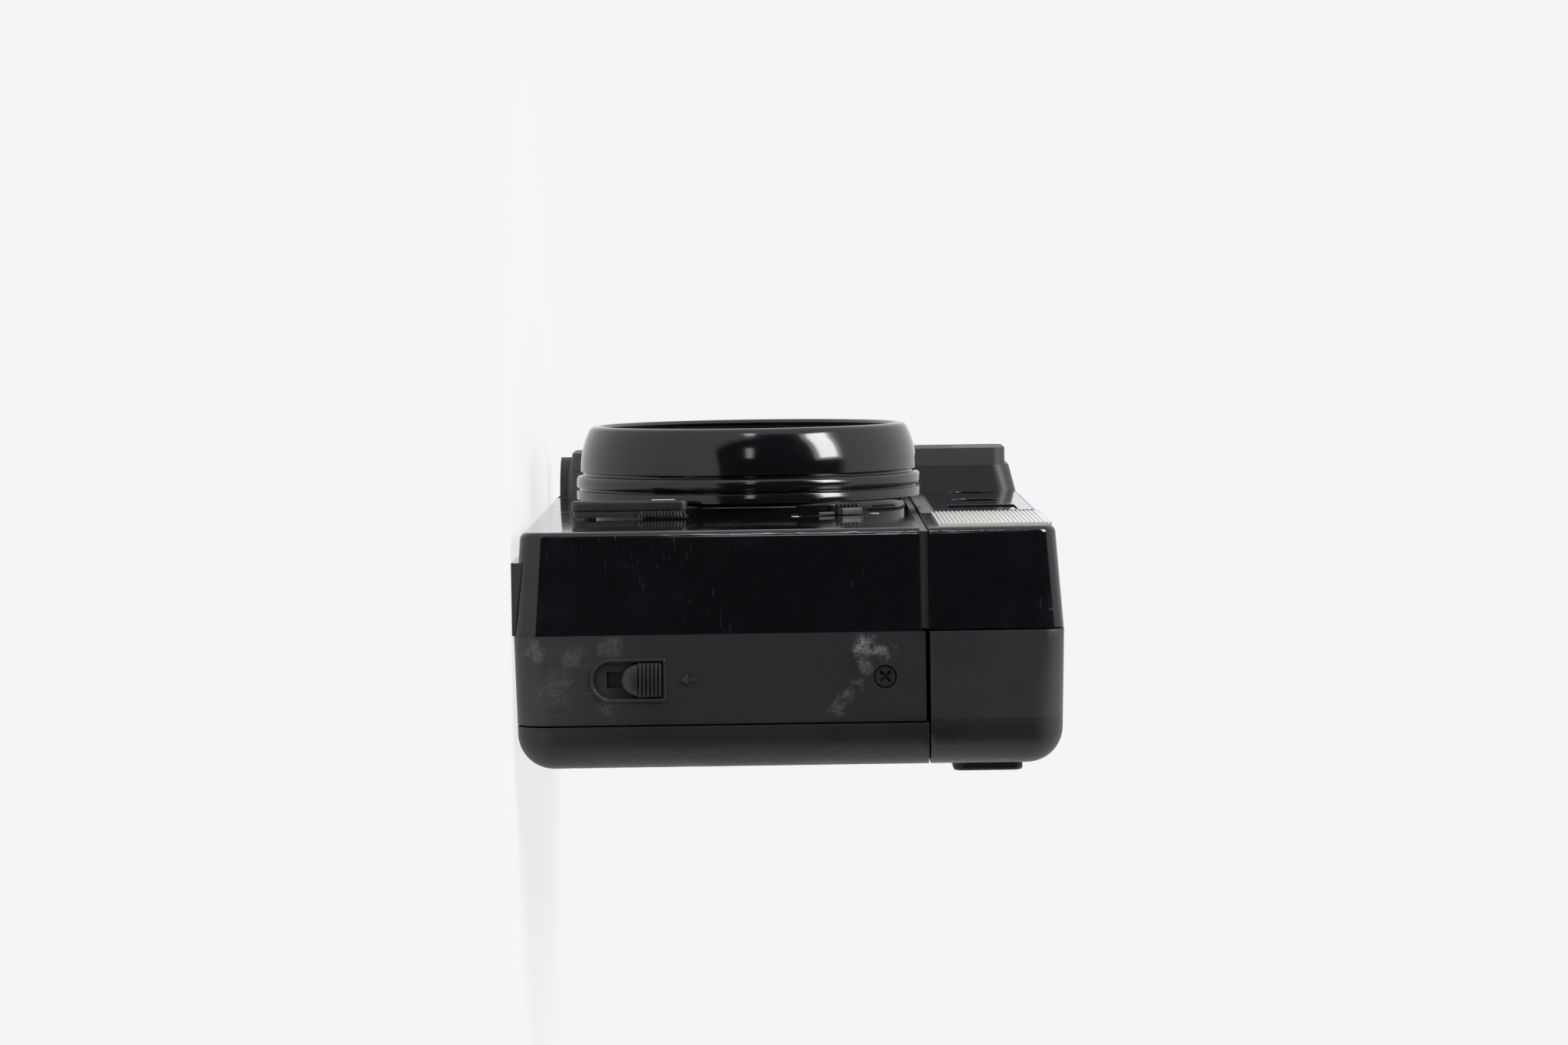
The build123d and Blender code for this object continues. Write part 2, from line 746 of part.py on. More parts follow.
def lens_ring():
    """Deep outer ring of the lens, open at the front for a filter thread."""
    foot = front_y - plinth_depth - 0.05
    tip = front_y - ring_height
    return turned([
        (thread_radius, tip + 0.4), (thread_radius + 0.4, tip), (ring_rim - 0.6, tip), (ring_rim, tip + 0.6),
        (ring_shoulder, front_y - 10.3), (ring_waist, front_y - 7.5), (ring_waist, front_y - 5.7),
        (ring_waist - 0.35, front_y - 5.6), (ring_waist - 0.35, front_y - 5.2),
        (ring_foot - 0.2, front_y - 5.1), (ring_foot, front_y - 4.2), (ring_foot, front_y - 3.5),
        (ring_foot - 0.4, front_y - 3.4), (ring_foot - 0.4, front_y - 3.1), (ring_foot, front_y - 3.0),
        (ring_foot, foot), (tube_radius - 2.0, foot),
        (tube_radius - 2.0, plate_seat + 1.7), (thread_radius + thread_groove, plate_seat + 1.7),
        (thread_radius + thread_groove, tip + thread_length), (thread_radius, tip + thread_length),
    ])


def front_plate():
    """Bare ring around the glass, in the mouth of the lens ring."""
    y, edge, bore = plate_seat, thread_radius + thread_groove - 0.1, barrel_radius + 0.1
    face = turned([(bore, y + 0.5), (edge, y), (edge, y + 1.5), (bore, y + 1.5)])
    return face - rod_y(meter_radius + 0.1, 0, lens_z + meter_offset, y - 2, y + 4)


def meter_cell():
    return rod_y(meter_radius, 0, lens_z + meter_offset, plate_seat + 0.5, plate_seat + 3.0)


def focus_sleeve():
    """Fixed guide tube that the focusing barrel slides in."""
    front = front_y - ring_height + thread_length + 2.0
    rear = barrel_rear_y - 0.5
    flange = front_y + 2.2
    bore, edge = barrel_radius + running_gap, tube_radius - 0.5
    return turned([(bore, front), (sleeve_radius, front), (sleeve_radius, flange), (edge, flange),
                   (edge, flange + 1.6), (sleeve_radius, flange + 1.6), (sleeve_radius, rear), (bore, rear)])


def focus_barrel():
    """Lens barrel that slides for focus, with a seat for each glass."""
    front, rear = lens_front_y, barrel_rear_y
    return turned([
        (barrel_radius - 1.0, front), (barrel_radius - 0.2, front), (barrel_radius, front + 0.2),
        (barrel_radius, rear - 1), (rear_glass + 0.1, rear - 1), (rear_glass + 0.1, rear - 4),
        (middle_glass + 0.1, rear - 4), (middle_glass + 0.1, front + 6), (front_glass + 0.1, front + 6),
        (front_glass + 0.1, front + 1.2), (barrel_radius - 1.0, front + 0.6),
    ])


def lens_element(radius, front, back, front_bow, back_bow):
    """Round glass between two rims; a bow above zero swells, below zero hollows."""
    glass = rod_y(radius, 0, lens_z, front - 2 * max(front_bow, 0), back + 2 * max(back_bow, 0))
    for rim, bow, side in ((front, front_bow, 1), (back, back_bow, -1)):
        reach = radius if bow > 0 else 0.94 * radius
        ball_radius = (reach ** 2 + bow ** 2) / (2 * abs(bow))
        centre = rim - side * bow + side * ball_radius * (1 if bow > 0 else -1)
        ball = Pos(0, centre, lens_z) * Sphere(ball_radius)
        glass = glass & ball if bow > 0 else glass - ball
    return glass


lens_front_y = front_y - ring_height + thread_length + 0.4
front_glass = barrel_radius - 1.7
middle_glass = barrel_radius - barrel_wall - 0.1
rear_glass = shutter_hole - 0.1


def front_element():
    return lens_element(front_glass, lens_front_y + 1.9, lens_front_y + 4.6, 1.4, -0.8)


def inner_elements():
    """The middle and the rear glass."""
    return [lens_element(middle_glass, lens_front_y + 7.2, lens_front_y + 8.6, -0.5, -0.4),
            lens_element(rear_glass, barrel_rear_y - 3.8, barrel_rear_y - 1.6, 0.5, 0.9)]


def shutter_plate():
    """Round plate behind the barrel with the pin that both blades turn on."""
    y = barrel_rear_y + 0.3
    disc = ring_y(shutter_radius, shutter_hole, 0, lens_z, y, y + 0.8)
    return disc + rod_y(shutter_pin, 0, lens_z + pin_offset, y + 0.8, y + 2.4)


def shutter_blade(side):
    """Thin blade on the shutter pin; side +1 or -1 is the half it covers."""
    y = barrel_rear_y + (1.25 if side > 0 else 1.65)
    lap, pin_z = -side * 0.6, lens_z + pin_offset
    disc = rod_y(shutter_hole + 1.4, 0, lens_z, y, y + 0.2)
    disc &= block(min(side * 9, lap), max(side * 9, lap), y - 1, y + 1, lens_z - 9, lens_z + 9)
    arm = block(min(lap, side * 2.6), max(lap, side * 2.6), y, y + 0.2, lens_z + 5, pin_z)
    blade = disc + arm + rod_y(1.9, 0, pin_z, y, y + 0.2)
    return blade - rod_y(shutter_pin + running_gap, 0, pin_z, y - 1, y + 1)


def shutter_cover():
    y = barrel_rear_y + 2.8
    return ring_y(shutter_radius, shutter_hole + 0.6, 0, lens_z, y, y + 0.7)


def lens_plinth():
    """Low rounded pad under the lens ring."""
    outline = Pos(0, lens_z) * RectangleRounded(plinth_length, plinth_height, plinth_corner)
    pad = extrude(Plane.XZ.offset(-front_y) * outline, plinth_depth)
    pad = fillet(edges_at_y(pad, front_y - plinth_depth), 0.7)
    return pad - rod_y(tube_radius, 0, lens_z, front_y - 5, front_y + 1)


def mode_selector():
    """Ridged knob on a short arc slide around the lens."""
    knob = block(selector_radius - 1.3, selector_radius + 1.4, front_y - 1.25, front_y - 0.1,
                 lens_z - 2.0, lens_z + 2.0)
    knob = fillet(knob.edges().filter_by(Axis.Y), 0.6)
    for index in range(6):
        z = lens_z - 1.5 + index * 0.6
        knob -= Pos(selector_radius, front_y - 1.25, z) * Rot(0, 20, 0) * Box(4, 0.4, 0.26)
    pointer = Polygon((selector_radius - 0.5, lens_z - 1.9), (selector_radius + 0.5, lens_z - 1.9),
                      (selector_radius + 0.15, lens_z - 4.2), (selector_radius - 0.15, lens_z - 4.2),
                      align=None)
    knob += extrude(Plane.XZ.offset(-front_y + 0.1) * pointer, 0.5, dir=(0, -1, 0))
    knob += rod_y(0.62, selector_radius, lens_z, front_y - 0.2, front_y + wall + 0.4)
    knob += block(selector_radius - 2.0, selector_radius + 1.6, front_y + wall + 0.1, front_y + wall + 0.7,
                  lens_z - 3, lens_z + 3)
    turn = Pos(0, 0, lens_z) * Rot(0, -selector_angle, 0) * Pos(0, 0, -lens_z)
    return turn * knob


def timer_lever():
    """Self-timer lever beside the lens, with its pivot pin."""
    back = front_y - lever_gap
    bar = block(lever_x - lever_width / 2, lever_x + lever_width / 2, back - lever_thick, back,
                lever_low, lever_high)
    bar = fillet(bar.edges().filter_by(Axis.Y), 1.0)
    bar += rod_y(0.95, lever_x, lever_pivot, back - 1, front_y + wall + 1.2)
    return bar + rod_y(2.2, lever_x, lever_pivot, front_y + wall + 0.3, front_y + wall + 1.2)


def grip():
    """Grip and battery housing: the end of the case, its swelling and a raised pad."""
    shell = outer_front & slab(-5, front_cover_top, x1=grip_edge)
    shell += outer_bulge & slab(-5, front_cover_top)
    shell -= inner_front & slab(-5, 80, x1=grip_edge + 1)
    shell -= inner_bulge
    back = front_y - bulge_depth
    front = back - grip_depth
    pad = loft([
        section(back, -half + draft + 0.7, grip_edge - 0.55, grip_bottom, grip_top, 2.0),
        section(front, -half + draft + 1.2, grip_edge - 0.9, grip_bottom + 0.5, grip_top, 2.0),
    ], ruled=True)
    slope = 2.2 / 1.3
    chamfer_cut = Polygon((front - 1, grip_top - 2.3 * slope), (front - 1, grip_top + 1),
                          (front + 1.3 + 1 / slope, grip_top + 1), align=None)
    pad -= extrude(Plane.YZ.offset(-half - 2) * chamfer_cut, 30)
    for index in range(5):
        x = -half + 5.0 + index * 2.8
        pad -= block(x - 0.35, x + 0.35, front - 1, front + 0.3, grip_bottom + 6, grip_top - 8)
    shell += pad
    return shell - battery_space(0.1, cover_top, holder_top + seam) - cover_space(seam)


def battery_holder():
    """Twin tube for the cells, open at the bottom."""
    box = battery_space(0, cover_top + 0.3, holder_top)
    for y in (cell_front_y, cell_back_y):
        box -= rod_z(cell_radius + cell_gap, cell_x, y, cover_top, holder_top - 1.2)
    return box


def battery_cells():
    """Two cells, the front one with its cap up and the back one with it down."""
    low, high = cell_bottom, cell_bottom + cell_length
    front = rod_z(cell_radius, cell_x, cell_front_y, low, high - 1)
    front += rod_z(cell_cap, cell_x, cell_front_y, high - 1, high)
    back = rod_z(cell_radius, cell_x, cell_back_y, low + 1, high)
    back += rod_z(cell_cap, cell_x, cell_back_y, low, low + 1)
    return [front, back]


def battery_contacts():
    """Two top plates under the holder's roof, and the bridge over the cover."""
    high = cell_bottom + cell_length
    pads = [rod_z(4.0, cell_x, y, high + 0.02, holder_top - 1.2) for y in (cell_front_y, cell_back_y)]
    low = cover_top + 0.35
    bridge = []
    for y, side in ((cell_front_y, -1), (cell_back_y, 1)):
        tab = block(cell_x - 3, cell_x + 3, y - 4 + side, y + 4 + side, low, cell_bottom - 0.02)
        bridge.append(tab & rod_z(cell_radius, cell_x, y, low, cell_bottom))
    return pads + bridge


def battery_cover():
    """Sliding bottom lid with the far foot."""
    lid = (outer_front + outer_bulge + outer_rear) & cover_space(0)
    lid -= slab(cover_top - 0.05, 80)
    foot = block(-59, cover_edge - 1.5, front_y + 4.0, cover_back - 1, 0, case_bottom + draft + 0.3)
    lid += foot
    for index in range(5):
        x = -half + 5 + index * 1.6
        lid -= block(x, x + 0.6, -8, 0, -1, case_bottom + 0.1)
    return lid


def gear(teeth, first_angle):
    """Spur gear outline with slim teeth, so that a pair never binds."""
    pitch = 360 / teeth
    radius = gear_module * teeth / 2
    points = []
    for index in range(teeth):
        middle = first_angle + index * pitch
        for spread, r in ((-0.29, radius - 1.2 * gear_module), (-0.1, radius + 0.8 * gear_module),
                          (0.1, radius + 0.8 * gear_module), (0.29, radius - 1.2 * gear_module)):
            angle = radians(middle + spread * pitch)
            points.append((r * cos(angle), r * sin(angle)))
    return extrude(Polygon(*points, align=None), gear_width)


mesh_angle = degrees(atan2(sprocket_y - spool_y, sprocket_x - spool_x))
mesh_distance = hypot(sprocket_x - spool_x, sprocket_y - spool_y)
pinion_angle = mesh_angle - 4 * 360 / spool_teeth
pinion_distance = gear_module * (spool_teeth + pinion_teeth) / 2 + 0.05
motor_x = spool_x + pinion_distance * cos(radians(pinion_angle))
motor_y = spool_y + pinion_distance * sin(radians(pinion_angle))


def take_up_spool():
    """Spool with a film slot and a flange, its gear on the same shaft."""
    hub = rod_z(spool_hub, spool_x, spool_y, chamber_floor + 0.4, chamber_ceiling - 0.4)
    for angle in range(0, 360, 60):
        hub -= Pos(spool_x, spool_y, 28) * Rot(0, 0, angle) * Pos(spool_hub, 0, 0) * Box(1.6, 1.0, 34)
    hub += rod_z(spool_hub + 1.2, spool_x, spool_y, chamber_ceiling - 1.8, chamber_ceiling - 0.4)
    hub += rod_z(shaft, spool_x, spool_y, chamber_floor - plate + 0.1, gear_bottom)
    return hub + Pos(spool_x, spool_y, gear_bottom) * gear(spool_teeth, mesh_angle)


def film_sprocket():
    """Toothed wheels for the film's two rows of holes, with a gear."""
    wheel = rod_z(shaft + 0.8, sprocket_x, sprocket_y, chamber_floor + 0.4, chamber_ceiling - 0.4)
    for z in (lens_z - 14.1, lens_z + 14.1):
        wheel += rod_z(sprocket_root, sprocket_x, sprocket_y, z - 1.6, z + 1.6)
        for index in range(6):
            turn = Pos(sprocket_x, sprocket_y, z) * Rot(0, 0, index * 60)
            wheel += turn * Pos(sprocket_root, 0, 0) * Box(1.6, 1.1, 1.6)
    wheel += rod_z(shaft, sprocket_x, sprocket_y, chamber_floor - plate + 0.1, gear_bottom)
    first = mesh_angle + 180 + 180 / sprocket_teeth
    return wheel + Pos(sprocket_x, sprocket_y, gear_bottom) * gear(sprocket_teeth, first)


def rewind_fork():
    """Fork that turns the cartridge's spool when the film runs back."""
    fork = rod_z(2.0, cartridge_x, cartridge_y, chamber_ceiling - 5.0, front_cover_top - 0.4)
    fork -= block(cartridge_x - 0.7, cartridge_x + 0.7, cartridge_y - 3, cartridge_y + 3,
                  chamber_ceiling - 5.1, chamber_ceiling - 2.5)
    return fork + rod_z(4.0, cartridge_x, cartridge_y, chamber_ceiling + plate + 0.05, front_cover_top - 0.4)


def motor():
    """Small winding motor with its wiring end uppermost."""
    low = gear_bottom + gear_width + 1.2
    can = rod_z(motor_radius, motor_x, motor_y, low, low + motor_length)
    return can + rod_z(2.4, motor_x, motor_y, low + motor_length, low + motor_length + 0.6)


def motor_pinion():
    """Pinion under the motor, on a short shaft."""
    low = gear_bottom + gear_width + 1.15
    wheel = gear(pinion_teeth, pinion_angle + 180 + 180 / pinion_teeth)
    return Pos(motor_x, motor_y, gear_bottom) * wheel + rod_z(0.75, motor_x, motor_y, gear_bottom, low)


def circuit_board():
    """Circuit board over the light box, with two chips."""
    base = chamber_ceiling + plate + 0.4
    board = block(-9, 18.4, parting_y - 8, parting_y + 8, base, base + 0.7)
    chips = block(-4, 6, parting_y - 5, parting_y + 4, base + 0.7, base + 1.9)
    return board + chips + block(10, 16, parting_y - 4, parting_y + 3, base + 0.7, base + 1.7)


def tripod_socket():
    """Threaded bush, shown at its minor diameter, with an inner flange."""
    bush = rod_z(socket_boss, 0, 0, 0, cover_top + 4.5) + rod_z(5.6, 0, 0, cover_top + 0.2, cover_top + 1.2)
    return bush - rod_z(socket_radius, 0, 0, -1, socket_depth)


def rewind_button():
    """Small button in the floor that starts the rewind."""
    stem = rod_z(rewind_radius, rewind_x, 0, case_bottom + 0.1, cover_top + 0.3)
    return stem + rod_z(rewind_radius + 0.85, rewind_x, 0, cover_top + 0.25, cover_top + 0.7)


def case_screws():
    """Cross-recess screw in the latch end."""
    seat = half - screw_depth + 0.05
    screw = rod_x(screw_head, 0, end_screw_z, seat, half - 0.2)
    screw += rod_x(screw_shank, 0, end_screw_z, half - 2.9, seat)
    for a, b in ((0.45, 2.0), (2.0, 0.45)):
        screw -= Pos(half - 0.2, 0, end_screw_z) * Rot(45, 0, 0) * Box(0.9, a, b)
    return screw


def strap_lug():
    """Metal eye for the wrist strap on the grip end."""
    x = -half - 1.6
    eye = rod_y(3.6, x, lug_z, 1.0, 3.0) + block(x, -half + 0.6, 1.0, 3.0, lug_z - 3.6, lug_z + 3.6)
    eye -= outer_rear
    return eye - rod_y(1.6, x - 0.2, lug_z, 0, 4)


frame_mould = whole_frame()

pieces = {
    "front_cover": front_cover(),
    "main_body": main_body(),
    "take_up_housing": take_up_housing(),
    "gate_frame": gate_frame(),
    "cartridge_housing": cartridge_housing(),
    "back_door": back_door(),
    "hinge_pin": hinge_pin(),
    "pressure_plate": pressure_plate(),
    "pressure_springs": pressure_springs(),
    "light_seals": light_seals(),
    "door_latch": door_latch(),
    "latch_bar": latch_bar(),
    "top_cover": top_cover(),
    "window_panel": window_panel(),
    "finder_glass": finder_glass(),
    "finder_tunnel": finder_tunnel(),
    "eyepiece_frame": eyepiece_frame(),
    "af_windows": af_windows(),
    "af_module": af_module(),
    "ready_lamp": ready_lamp(),
    "flash_lid": flash_lid(),
    "flash_window": flash_window(),
    "flash_reflector": flash_reflector(),
    "flash_tube": flash_tube(),
    "flash_carrier": flash_carrier(),
    "flash_base": flash_base(),
    "flash_capacitor": flash_capacitor(),
    "shutter_button": shutter_button(),
    "shutter_switch": shutter_switch(),
    "counter_glass": counter_glass(),
    "counter_dial": counter_dial(),
    "lens_ring": lens_ring(),
    "front_plate": front_plate(),
    "meter_cell": meter_cell(),
    "focus_sleeve": focus_sleeve(),
    "focus_barrel": focus_barrel(),
    "front_element": front_element(),
    "inner_elements": inner_elements(),
    "shutter_plate": shutter_plate(),
    "shutter_blade_right": shutter_blade(1),
    "shutter_blade_left": shutter_blade(-1),
    "shutter_cover": shutter_cover(),
    "lens_plinth": lens_plinth(),
    "mode_selector": mode_selector(),
    "timer_lever": timer_lever(),
    "grip": grip(),
    "battery_holder": battery_holder(),
    "battery_cells": battery_cells(),
    "battery_contacts": battery_contacts(),
    "battery_cover": battery_cover(),
    "take_up_spool": take_up_spool(),
    "film_sprocket": film_sprocket(),
    "rewind_fork": rewind_fork(),
    "motor": motor(),
    "motor_pinion": motor_pinion(),
    "circuit_board": circuit_board(),
    "tripod_socket": tripod_socket(),
    "rewind_button": rewind_button(),
    "case_screws": case_screws(),
    "strap_lug": strap_lug(),
}

os.makedirs("parts", exist_ok=True)
for name, piece in pieces.items():
    solids = piece if isinstance(piece, list) else [piece]
    found = [solid for item in solids for solid in item.solids()]
    shape = found[0] if len(found) == 1 else Compound(children=found)
    export_step(shape, f"parts/{name}.step")
    print(name, len(found), round(sum(solid.volume for solid in found), 1))
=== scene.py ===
import bpy
import bmesh
import json
from math import pi, sin, cos, radians
from mathutils import Vector, Matrix


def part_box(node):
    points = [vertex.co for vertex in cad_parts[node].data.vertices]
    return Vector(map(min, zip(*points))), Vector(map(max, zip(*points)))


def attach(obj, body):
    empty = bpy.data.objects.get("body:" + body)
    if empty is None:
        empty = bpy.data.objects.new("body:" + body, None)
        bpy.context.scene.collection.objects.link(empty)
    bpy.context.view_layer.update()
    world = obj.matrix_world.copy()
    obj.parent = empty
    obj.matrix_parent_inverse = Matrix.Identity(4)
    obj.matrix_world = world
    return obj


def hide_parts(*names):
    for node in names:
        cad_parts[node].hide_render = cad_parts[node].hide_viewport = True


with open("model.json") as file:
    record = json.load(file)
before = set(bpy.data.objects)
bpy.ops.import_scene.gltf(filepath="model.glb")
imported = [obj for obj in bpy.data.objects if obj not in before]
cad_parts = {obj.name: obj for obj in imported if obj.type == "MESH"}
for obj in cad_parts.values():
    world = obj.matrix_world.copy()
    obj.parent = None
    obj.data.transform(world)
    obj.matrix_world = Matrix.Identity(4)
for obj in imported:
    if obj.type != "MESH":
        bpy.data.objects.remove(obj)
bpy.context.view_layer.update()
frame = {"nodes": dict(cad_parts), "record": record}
record = frame["record"]
nodes = frame["nodes"]
slotOf = {part["node"]: part["material_slot"] for part in record["subparts"]}
bodyOf = {node: body for body, group in record["behaviour"]["bodies"].items() for node in group}
print("frame loaded:", len(nodes), "nodes")

mm = 0.001


def low(node):
    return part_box(node)[0] / mm


def high(node):
    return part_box(node)[1] / mm


# levels of the camera in millimetres, taken from the frame
frontY = low("front_cover").y
backY = high("back_door").y
endX = high("main_body").x
lensZ = (low("lens_ring").z + high("lens_ring").z) / 2
ringTip = low("lens_ring").y


class Wire:
    def __init__(self, tree, socket):
        self.tree = tree
        self.socket = socket

    def maths(self, operation, other=None, swap=False, clamp=False):
        node = self.tree.nodes.new("ShaderNodeMath")
        node.operation = operation
        node.use_clamp = clamp
        pair = [other, self] if swap else [self, other]
        for place, value in enumerate(pair):
            join(self.tree, node.inputs[place], value)
        return Wire(self.tree, node.outputs[0])

    def __add__(self, other):
        return self.maths("ADD", other)

    def __radd__(self, other):
        return self.maths("ADD", other, swap=True)

    def __sub__(self, other):
        return self.maths("SUBTRACT", other)

    def __rsub__(self, other):
        return self.maths("SUBTRACT", other, swap=True)

    def __mul__(self, other):
        return self.maths("MULTIPLY", other)

    def __truediv__(self, other):
        return self.maths("DIVIDE", other)

    def __gt__(self, other):
        return self.maths("GREATER_THAN", other)

    def __lt__(self, other):
        return self.maths("LESS_THAN", other)

    def __abs__(self):
        return self.maths("ABSOLUTE")

    def wave(self):
        return self.maths("SINE")

    def clamped(self):
        return self.maths("ADD", 0.0, clamp=True)


def join(tree, target, value):
    if value is None:
        return
    if isinstance(value, Wire):
        tree.links.new(value.socket, target)
    elif isinstance(value, (tuple, list)) and len(value) == 3 and target.type == "RGBA":
        target.default_value = (*value, 1.0)
    else:
        target.default_value = value


class Finish:
    def __init__(self, name):
        self.material = bpy.data.materials.new(name)
        self.material.use_nodes = True
        self.tree = self.material.node_tree
        self.tree.nodes.clear()
        self.output = self.tree.nodes.new("ShaderNodeOutputMaterial")
        self.place = self.out(self.node("ShaderNodeTexCoord"), "Object")

    def node(self, kind, settings=None, **sockets):
        made = self.tree.nodes.new(kind)
        for key, value in (settings or {}).items():
            setattr(made, key, value)
        for key, value in sockets.items():
            join(self.tree, made.inputs[key.replace("_", " ")], value)
        return made

    def out(self, made, socket=0):
        return Wire(self.tree, made.outputs[socket])

    def axes(self):
        # the three coordinates in millimetres
        split = self.node("ShaderNodeSeparateXYZ", Vector=self.place)
        return [self.out(split, index) / mm for index in range(3)]

    def turned(self, angles=(0, 0, 0), scale=(1, 1, 1), shift=(0, 0, 0)):
        made = self.node("ShaderNodeMapping", {"vector_type": "POINT"}, Vector=self.place)
        made.inputs["Location"].default_value = shift
        made.inputs["Rotation"].default_value = [radians(a) for a in angles]
        made.inputs["Scale"].default_value = scale
        return self.out(made)

    def noise(self, scale, detail=2.0, roughness=0.5, vector=None):
        made = self.node("ShaderNodeTexNoise", Vector=vector or self.place, Scale=scale,
                         Detail=detail, Roughness=roughness)
        return self.out(made, "Fac")

    def warped(self, scale, amount):
        # coordinates pushed about by a noise, in millimetres of reach
        cloud = self.node("ShaderNodeTexNoise", Vector=self.place, Scale=scale, Detail=4.0)
        centred = self.node("ShaderNodeVectorMath", {"operation": "SUBTRACT"})
        join(self.tree, centred.inputs[0], self.out(cloud, "Color"))
        centred.inputs[1].default_value = (0.5, 0.5, 0.5)
        pushed = self.node("ShaderNodeVectorMath", {"operation": "SCALE"})
        join(self.tree, pushed.inputs[0], self.out(centred))
        pushed.inputs["Scale"].default_value = amount * mm * 2
        moved = self.node("ShaderNodeVectorMath", {"operation": "ADD"})
        join(self.tree, moved.inputs[0], self.place)
        join(self.tree, moved.inputs[1], self.out(pushed))
        return self.out(moved)

    def cells(self, scale):
        made = self.node("ShaderNodeTexVoronoi", Vector=self.place, Scale=scale)
        return self.out(made, "Distance"), self.out(made, "Color")

    def step(self, value, start, full):
        # smooth rise from 0 at start to 1 at full
        made = self.node("ShaderNodeMapRange", {"interpolation_type": "SMOOTHSTEP"}, Value=value)
        made.inputs["From Min"].default_value = start
        made.inputs["From Max"].default_value = full
        return self.out(made)

    def tint(self, mask, first, second):
        made = self.node("ShaderNodeMix", {"data_type": "RGBA"})
        join(self.tree, made.inputs["Factor"], mask)
        join(self.tree, made.inputs[6], first)
        join(self.tree, made.inputs[7], second)
        return self.out(made, 2)

    def bump(self, height, depth, strength):
        made = self.node("ShaderNodeBump", Height=height)
        made.inputs["Distance"].default_value = depth
        made.inputs["Strength"].default_value = strength
        return self.out(made)

    def distance(self, centre, vector=None):
        gap = self.node("ShaderNodeVectorMath", {"operation": "DISTANCE"}, Vector=vector or self.place)
        gap.inputs[1].default_value = [value * mm for value in centre]
        return self.out(gap, "Value") / mm

    def surface(self, **sockets):
        shader = self.node("ShaderNodeBsdfPrincipled", **sockets)
        self.tree.links.new(shader.outputs[0], self.output.inputs[0])
        return self.material

    def blendOf(self, mask, first, second):
        mixed = self.node("ShaderNodeMixShader")
        join(self.tree, mixed.inputs[0], mask)
        self.tree.links.new(first.outputs[0], mixed.inputs[1])
        self.tree.links.new(second.outputs[0], mixed.inputs[2])
        self.tree.links.new(mixed.outputs[0], self.output.inputs[0])
        return self.material


def dustMask(f, amount, size=0.035):
    # a few bright specks, each at its own place in a cell
    gap, colour = f.cells(430)
    chance = f.out(f.node("ShaderNodeSeparateColor", Color=colour), 0)
    return ((gap < size) * (chance > 1 - amount)).clamped()


def scratchMask(f, keep):
    # hairlines in three directions, gathered in patches
    total = None
    for angles, seed in (((12, 0, 30), 0.0), ((-35, 5, 0), 1.7), ((70, 10, -15), 3.1)):
        lines = f.noise(120, 3, 0.6, f.turned(angles, (30, 0.8, 30), (seed, 0, 0)))
        mask = f.step(lines, keep, keep + 0.03)
        total = mask if total is None else total + mask
    patches = f.step(f.noise(75, 2), 0.50, 0.62)
    return (total * patches).clamped()


grainedBlack = {
    "grainScale": 6500,
    "grainDepth": 0.000016,
    "mottleScale": 330,
    "roughness": 0.40,
    "rubbed": (0.27, 0.28, 0.28),
    # painted shade: from these depths on, the back half is coloured darker, standing in for the weaker light
    # that falls there
    "paintedShadeFrom": 5.0,
    "paintedShadeFull": 7.0,
    "paintedShadeTone": 0.40,
    "seamHalf": 0.07,
}


def makeGrained(name, tone, roughness=None, dust=0.05, wornEnd=False, seamAt=None):
    # fine spark-eroded texture of the matte mouldings, with painted shade on the back half
    f = Finish(name)
    grain = f.noise(grainedBlack["grainScale"], 3, 0.6)
    mottle = f.noise(grainedBlack["mottleScale"], 5, 0.65)
    patches = f.noise(60, 3, 0.55)
    shade = f.tint(f.step(mottle, 0.35, 0.7) * 0.4, tone, tuple(c * 1.25 for c in tone))
    shade = f.tint(f.step(patches, 0.45, 0.7) * 0.3, shade, tuple(c * 0.8 for c in tone))
    rough = (roughness or grainedBlack["roughness"]) + grain * 0.10 + f.step(patches, 0.5, 0.72) * -0.06
    shade = f.tint(dustMask(f, dust) * 0.3, shade, (0.35, 0.35, 0.34))
    if wornEnd:
        worn = endWear(f)
        shade = f.tint(worn, shade, grainedBlack["rubbed"])
        rough = rough + worn * 0.25
    depth = f.axes()[1]
    # painted shade: the colour darkens towards the back to stand in for the weaker light there, not a change
    # in the moulding
    paintedBackShade = f.step(depth, grainedBlack["paintedShadeFrom"], grainedBlack["paintedShadeFull"])
    shade = f.tint(paintedBackShade, shade, tuple(c * grainedBlack["paintedShadeTone"] for c in tone))
    if seamAt is not None:
        line = abs(depth - seamAt) < grainedBlack["seamHalf"]
        shade = f.tint(line * 0.75, shade, (0.002, 0.002, 0.002))
    normal = f.bump(grain + mottle * 0.12, grainedBlack["grainDepth"], 0.7)
    return f.surface(Base_Color=shade, Roughness=rough.clamped(), Normal=normal)


endMarks = {
    # centre (y, z), reach and strength of each rubbed place on the latch end, in millimetres
    "spots": [((-3.9, 46.9), 2.4, 0.62), ((-3.3, 49.2), 1.9, 0.48), ((-1.6, 46.6), 1.6, 0.34),
              ((0.9, 45.6), 1.5, 0.20), ((2.6, 44.2), 1.6, 0.24), ((4.4, 43.0), 1.8, 0.24),
              ((-4.1, 3.1), 2.4, 0.28), ((-3.2, 7.8), 3.0, 0.20), ((0.8, 5.6), 4.2, 0.14),
              ((3.4, 12.5), 2.6, 0.16), ((-4.6, 13.0), 3.0, 0.16)],
    "fineScale": 5200,
    "coarseScale": 700,
    # faint streaks round a place near the low edge, fading away from it, in millimetres
    "streakPlace": (-1.0, 6.5),
    "streakFade": (3.0, 8.0),
    "streakStrength": 0.10,
}


